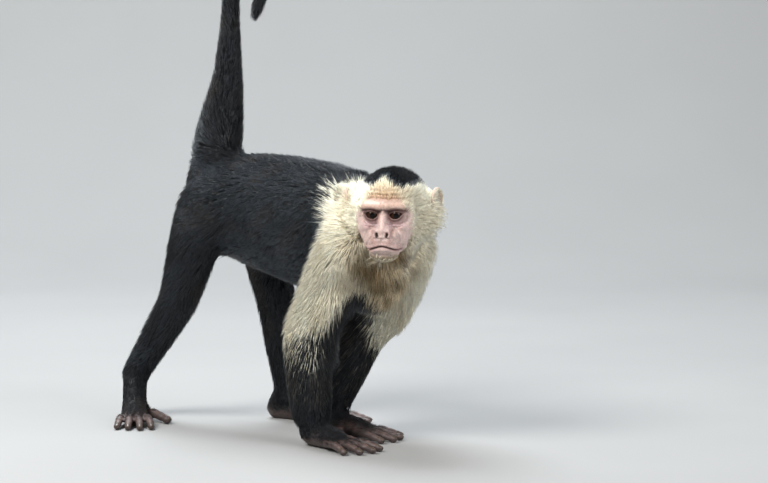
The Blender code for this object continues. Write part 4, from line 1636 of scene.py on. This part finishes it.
def face_colour(h, places):
    """The bare face's colours, with painted shade in its creases, hollows and nostrils, round the eyes and
    between the lips.
    """
    face = stroked(np.tile(PINK, (len(places), 1)), h, EYE_AND_BROW_TONES)
    face = mixed(face, TAN, blend(h[:, 2], 12.5, 19))
    face = stroked(face, h, WRINKLE_AND_MUZZLE_TONES)
    # the chin darker below the mouth, as painted shade
    face = mixed(face, CHIN_AND_SHADE, blend(-h[:, 2], 34, 40))
    # painted shade round the eyes under the brow bar, over the lids' own dark colour
    eye = np.hypot((np.abs(h[:, 0]) - EYE_ASIDE) / 1.25, h[:, 2] - 0.2)
    face = mixed(face, LID_AND_SHADE, 0.96 * (1 - blend(eye, 5.2, 8.0)) * (h[:, 1] < -24))
    face = stroked(face, h, LINES)
    blotch = 1 + 0.09 * waves(places, 7, 41) + 0.08 * waves(places, 2.6, 42)
    return face * blotch[:, None]


print(len(EYE_AND_BROW_TONES + WRINKLE_AND_MUZZLE_TONES), "tones and", len(LINES), "lines")

# %% [markdown]
# The whole skin takes the coat's marking first, then the face, the ears and the bare hands and feet over it,
# each with a soft border. The colours are stored on the vertices, which are close enough for every line.

# %% Paint the skin
EAR_SKIN = np.array((0.60, 0.47, 0.38))
PAW = np.array((0.060, 0.041, 0.037))


def skin_colour(places, normals):
    h = to_head(places)
    face = face_colour(h, places)
    fan = np.hypot(h[:, 0] / 28.5, (h[:, 2] + 12) / 35)
    on_face = (1 - blend(fan, 0.92, 1.10)) * blend(-h[:, 1], 8, 16) * (h[:, 1] > -66)
    above, _, _ = envelope_side(places)
    # painted shade: under the fur the skin takes the coat's marking at 0.6 of its brightness
    body = coat_colour(above, np.full(len(places), 0.5)) * 0.6
    colour = mixed(body, face, on_face)
    on_ear = ear_share(places, 1.0, 1.15)
    colour = mixed(colour, EAR_SKIN, on_ear)
    # painted shade in the ear's bowl
    colour = mixed(colour, EAR_SKIN * (0.62, 0.52, 0.46), 0.8 * ear_bowl(places))
    paw = np.maximum(1 - blend(places[:, 2], 0.006, 0.020), near_digits(places) * (places[:, 2] < 0.034))
    # lighter where the skin faces upwards, with a slow random spread
    upward_share = blend(normals[:, 2], 0.2, 0.9) * (0.5 + 0.5 * waves(places, 9, 44))
    hide = mixed(np.tile(PAW, (len(places), 1)), PAW * (2.6, 2.35, 2.2), 0.65 * np.clip(upward_share, 0, 1))
    hide *= (1 + 0.22 * waves(places, 4, 45))[:, None]
    return np.clip(mixed(colour, hide, paw), 0.002, 1)


def paint(thing, name, colours):
    layer = thing.data.attributes.new(name, "FLOAT_COLOR", "POINT")
    full = np.concatenate((colours, np.ones((len(colours), 1))), axis=1)
    layer.data.foreach_set("color", full.astype(np.float32).ravel())


paint(skin, "Skin", skin_colour(places_of(skin), normals_of(skin)))
bpy.data.objects.remove(envelope)
print("skin painted")

# %% [markdown]
# ## Materials
# All patterns are made by nodes. Colours come from the painted attributes, and noise on Object
# coordinates breaks them up. Values that are the same all over sit on the shader's own sockets.

# %% Small helpers for nodes
def new_material(name):
    material = bpy.data.materials.new(name)
    material.use_nodes = True
    return material, material.node_tree.nodes, material.node_tree.links


def noise(nodes, links, scale, detail=3.0, rough=0.55):
    places = nodes.new("ShaderNodeTexCoord")
    made = nodes.new("ShaderNodeTexNoise")
    made.inputs["Scale"].default_value = scale
    made.inputs["Detail"].default_value = detail
    made.inputs["Roughness"].default_value = rough
    links.new(places.outputs["Object"], made.inputs["Vector"])
    return made


def ranged(nodes, links, source, low, high, to_low, to_high):
    made = nodes.new("ShaderNodeMapRange")
    for socket, value in zip(("From Min", "From Max", "To Min", "To Max"), (low, high, to_low, to_high)):
        made.inputs[socket].default_value = value
    links.new(source, made.inputs["Value"])
    return made.outputs["Result"]


def multiplied(nodes, links, colour, factor):
    made = nodes.new("ShaderNodeVectorMath")
    made.operation = "SCALE"
    links.new(colour, made.inputs[0])
    links.new(factor, made.inputs["Scale"])
    return made.outputs[0]


def painted(nodes, name):
    made = nodes.new("ShaderNodeAttribute")
    made.attribute_name = name
    return made


print("helpers for nodes ready")

# %% [markdown]
# Hair shines along its length and has a soft sheen from the side. A little noise in colour and gloss
# keeps the locks from looking cast in one piece. The cap is a deep, matt black, so it has a finish of its
# own.

# %% The coat's hair
def coat_material(name, sheen, shine):
    material, nodes, links = new_material(name)
    shader = nodes["Principled BSDF"]
    tone = painted(nodes, "Coat")
    grain = noise(nodes, links, 900, 2.0)
    factor = ranged(nodes, links, grain.outputs["Fac"], 0.3, 0.7, 0.86, 1.12)
    links.new(multiplied(nodes, links, tone.outputs["Color"], factor), shader.inputs["Base Color"])
    gloss = noise(nodes, links, 300, 1.0)
    links.new(ranged(nodes, links, gloss.outputs["Fac"], 0.3, 0.7, 0.34, 0.52), shader.inputs["Roughness"])
    shader.inputs["Sheen Weight"].default_value = sheen
    shader.inputs["Sheen Roughness"].default_value = 0.35
    shader.inputs["Sheen Tint"].default_value = (0.62, 0.80, 1.0, 1)
    shader.inputs["Specular IOR Level"].default_value = shine
    return material


coat_finish = coat_material("Coat", 0.065, 0.45)
cap_finish = coat_material("Cap", 0.0, 0.04)
for name, piece in COAT.items():
    piece.data.materials.append(cap_finish if name == "Coat_cap" else coat_finish)
print("finishes on", len(COAT), "pieces of the coat")

# %% [markdown]
# Skin lets a little light in and is rough with pores and creases, which a bump is enough for at this
# size. Nails are streaked horn. On the eye a ramp over the angle from the line of sight gives the black
# pupil, the brown iris, its dark rim and the white, in that order.

# %% The skin's finish
def skin_material():
    material, nodes, links = new_material("Skin")
    shader = nodes["Principled BSDF"]
    tone = painted(nodes, "Skin")
    mottle = noise(nodes, links, 700, 4.0, 0.6)
    factor = ranged(nodes, links, mottle.outputs["Fac"], 0.3, 0.7, 0.86, 1.12)
    links.new(multiplied(nodes, links, tone.outputs["Color"], factor), shader.inputs["Base Color"])
    links.new(ranged(nodes, links, mottle.outputs["Fac"], 0.3, 0.7, 0.42, 0.60), shader.inputs["Roughness"])
    shader.inputs["Subsurface Weight"].default_value = 0.12
    shader.inputs["Subsurface Radius"].default_value = (1.0, 0.35, 0.2)
    shader.inputs["Subsurface Scale"].default_value = 0.0015
    pores = nodes.new("ShaderNodeTexVoronoi")
    pores.inputs["Scale"].default_value = 1100
    places = nodes.new("ShaderNodeTexCoord")
    links.new(places.outputs["Object"], pores.inputs["Vector"])
    creases = noise(nodes, links, 420, 5.0, 0.62)
    height = nodes.new("ShaderNodeMath")
    height.operation = "MULTIPLY_ADD"
    links.new(pores.outputs["Distance"], height.inputs[0])
    height.inputs[1].default_value = 0.35
    links.new(creases.outputs["Fac"], height.inputs[2])
    bump = nodes.new("ShaderNodeBump")
    bump.inputs["Strength"].default_value = 0.45
    bump.inputs["Distance"].default_value = 0.0006
    links.new(height.outputs[0], bump.inputs["Height"])
    links.new(bump.outputs["Normal"], shader.inputs["Normal"])
    return material


skin.data.materials.clear()
skin.data.materials.append(skin_material())
print("finish of the skin:", skin.data.materials[0].name)

# %% The nails' finish
def nail_material():
    material, nodes, links = new_material("Nail")
    shader = nodes["Principled BSDF"]
    streak = noise(nodes, links, 600, 3.0)
    ramp = nodes.new("ShaderNodeValToRGB")
    ramp.color_ramp.elements[0].color = (0.035, 0.024, 0.019, 1)
    ramp.color_ramp.elements[1].color = (0.12, 0.085, 0.065, 1)
    links.new(streak.outputs["Fac"], ramp.inputs["Fac"])
    links.new(ramp.outputs["Color"], shader.inputs["Base Color"])
    links.new(ranged(nodes, links, streak.outputs["Fac"], 0.3, 0.7, 0.25, 0.42), shader.inputs["Roughness"])
    return material


nails.data.materials.append(nail_material())
print("finish of the nails:", nails.data.materials[0].name)

# %% The eyes' finish
def eye_material():
    material, nodes, links = new_material("Eye")
    shader = nodes["Principled BSDF"]
    angle = painted(nodes, "From_sight")
    fibre = noise(nodes, links, 1500, 3.0)
    wander = nodes.new("ShaderNodeMath")
    wander.operation = "MULTIPLY_ADD"
    links.new(fibre.outputs["Fac"], wander.inputs[0])
    wander.inputs[1].default_value = 3.0
    links.new(angle.outputs["Fac"], wander.inputs[2])
    ramp = nodes.new("ShaderNodeValToRGB")
    links.new(ranged(nodes, links, wander.outputs[0], 0, 90, 0, 1), ramp.inputs["Fac"])
    stops = ((0.0, (0.002, 0.002, 0.002)), (0.19, (0.002, 0.0015, 0.0015)), (0.225, (0.030, 0.011, 0.005)),
             (0.42, (0.020, 0.007, 0.003)), (0.52, (0.006, 0.003, 0.003)), (0.60, (0.07, 0.038, 0.028)),
             (0.80, (0.14, 0.085, 0.065)))
    for _ in range(len(stops) - 2):
        ramp.color_ramp.elements.new(0.5)
    for element, (place, colour) in zip(ramp.color_ramp.elements, stops):
        element.position = place
        element.color = (*colour, 1)
    links.new(ramp.outputs["Color"], shader.inputs["Base Color"])
    shader.inputs["Roughness"].default_value = 0.25
    shader.inputs["Specular IOR Level"].default_value = 0.05
    shader.inputs["Coat Weight"].default_value = 0.22
    shader.inputs["Coat Roughness"].default_value = 0.03
    return material


eye_finish = eye_material()
for eye in EYES.values():
    eye.data.materials.append(eye_finish)
print("finish of the eyes:", eye_finish.name)

# %% [markdown]
# ## What each piece stands for
# The skin stands for every solid of flesh, and each eye for its own solid. The coat and nails are pieces
# of their own. A still model has one body, so everything rides on the root.

# %% Tie the pieces to the frame
skin.name = "Skin"
flesh = sorted(node for node in frame["nodes"] if not node.startswith("eye"))
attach(skin, "root")
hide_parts(*flesh)
for word, eye in EYES.items():
    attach(eye, "root")
    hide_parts("eye_" + word)
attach(nails, "root")
for name, piece in COAT.items():
    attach(piece, "root")
    pale = "mantle" in name or "cheeks" in name
print(len(flesh), "solids replaced by the skin")

# %% [markdown]
# ## Floor, light and camera
# A pale floor rolls up into a backdrop without a corner. One large soft light stands high on the camera's
# left, a broad weak one fills from the right, and a third behind the model lights the edges of the fur.

# %% The stage
VIEW_ASIDE = -45.0  # degrees round the model, towards its right
FLOOR_FRONT, FLOOR_END = -3.0, 1.2  # metres along the view
ROLL = 0.9  # radius of the floor's upward bend
ROLL_STEPS = 12
BACKDROP = 3.2  # its height
HALF_WIDTH = 4.0


def stage_material():
    material, nodes, links = new_material("Stage")
    shader = nodes["Principled BSDF"]
    cloud = noise(nodes, links, 3, 2.0)
    ramp = nodes.new("ShaderNodeValToRGB")
    ramp.color_ramp.elements[0].color = (0.32, 0.32, 0.315, 1)
    ramp.color_ramp.elements[1].color = (0.36, 0.36, 0.355, 1)
    links.new(cloud.outputs["Fac"], ramp.inputs["Fac"])
    links.new(ramp.outputs["Color"], shader.inputs["Base Color"])
    shader.inputs["Roughness"].default_value = 0.9
    return material


def stage_piece():
    shape = bmesh.new()
    line = [(FLOOR_FRONT, 0.0), (FLOOR_END, 0.0)]
    for step in range(1, ROLL_STEPS + 1):
        angle = math.pi / 2 * step / ROLL_STEPS
        line.append((FLOOR_END + ROLL * math.sin(angle), ROLL - ROLL * math.cos(angle)))
    line.append((FLOOR_END + ROLL, BACKDROP))
    verts = [shape.verts.new((-HALF_WIDTH, along_y, up)) for along_y, up in line]
    edges = [shape.edges.new(pair) for pair in zip(verts, verts[1:])]
    swept = bmesh.ops.extrude_edge_only(shape, edges=edges)
    moved = [item for item in swept["geom"] if isinstance(item, bmesh.types.BMVert)]
    bmesh.ops.translate(shape, verts=moved, vec=(2 * HALF_WIDTH, 0, 0))
    bmesh.ops.recalc_face_normals(shape, faces=shape.faces)
    shape.transform(Matrix.Rotation(math.radians(VIEW_ASIDE), 4, "Z"))
    made = mesh_object("Stage", shape)
    shade_smooth(made)
    made.data.materials.append(stage_material())
    made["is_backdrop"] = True
    return made


stage = stage_piece()
print("stage of", len(stage.data.polygons), "faces")

# %% The lights
LIT_HEIGHT = 0.22  # the lights aim at the middle of the body


def direction(aside, up):
    a, e = math.radians(aside), math.radians(up)
    return Vector((math.sin(a) * math.cos(e), -math.cos(a) * math.cos(e), math.sin(e)))


def add_light(name, aside, up, distance, size, power, warmth):
    light = bpy.data.lights.new(name, "AREA")
    light.shape = "DISK"
    light.size = size
    light.energy = power
    light.color = warmth
    lamp = bpy.data.objects.new(name, light)
    bpy.context.scene.collection.objects.link(lamp)
    back = direction(aside, up)
    lamp.location = Vector((0, 0, LIT_HEIGHT)) + back * distance
    lamp.rotation_euler = back.to_track_quat("Z", "Y").to_euler()


add_light("Key", VIEW_ASIDE - 44, 42, 2.2, 1.0, 57, (1.0, 0.98, 0.95))
add_light("Fill", VIEW_ASIDE + 50, 22, 2.6, 1.8, 36, (0.97, 0.98, 1.0))
add_light("Top", VIEW_ASIDE + 200, 62, 2.0, 1.3, 64, (0.88, 0.94, 1.0))
world = bpy.data.worlds.new("Studio")
world.use_nodes = True
sky = world.node_tree.nodes["Background"]
sky.inputs["Color"].default_value = (0.97, 0.98, 1.0, 1)
sky.inputs["Strength"].default_value = 0.27
bpy.context.scene.world = world
print("three lights and a dim sky")

# %% [markdown]
# The camera stands level with the animal's chest, well back and to its right, with a long lens that keeps
# the face from looking large.

# %% The camera
VIEW_UP = 6.0  # degrees
VIEW_FROM = 3.5  # metres
AIM = Vector((0.0339, -0.1157, 0.1963))
camera_data = bpy.data.cameras.new("Camera")
camera_data.sensor_width = 36.0  # mm
camera_data.lens = 169.1
camera = bpy.data.objects.new("Camera", camera_data)
bpy.context.scene.collection.objects.link(camera)
camera.location = AIM + direction(VIEW_ASIDE, VIEW_UP) * VIEW_FROM
camera.rotation_euler = direction(VIEW_ASIDE, VIEW_UP).to_track_quat("Z", "Y").to_euler()
camera_data.clip_end = 30
bpy.context.scene.camera = camera
bpy.context.scene.view_settings.view_transform = "Standard"
print("camera at", [round(value, 2) for value in camera.location])

# %% [markdown]
# The box of the finished model goes beside the box of the solids, so that a change in size can be seen.

# %% Sizes, and the end
MODEL_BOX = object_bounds()
for word, box in (("solids", CAD_BOX), ("model", MODEL_BOX)):
    print(word, [[round(value / MM, 1) for value in corner] for corner in box])
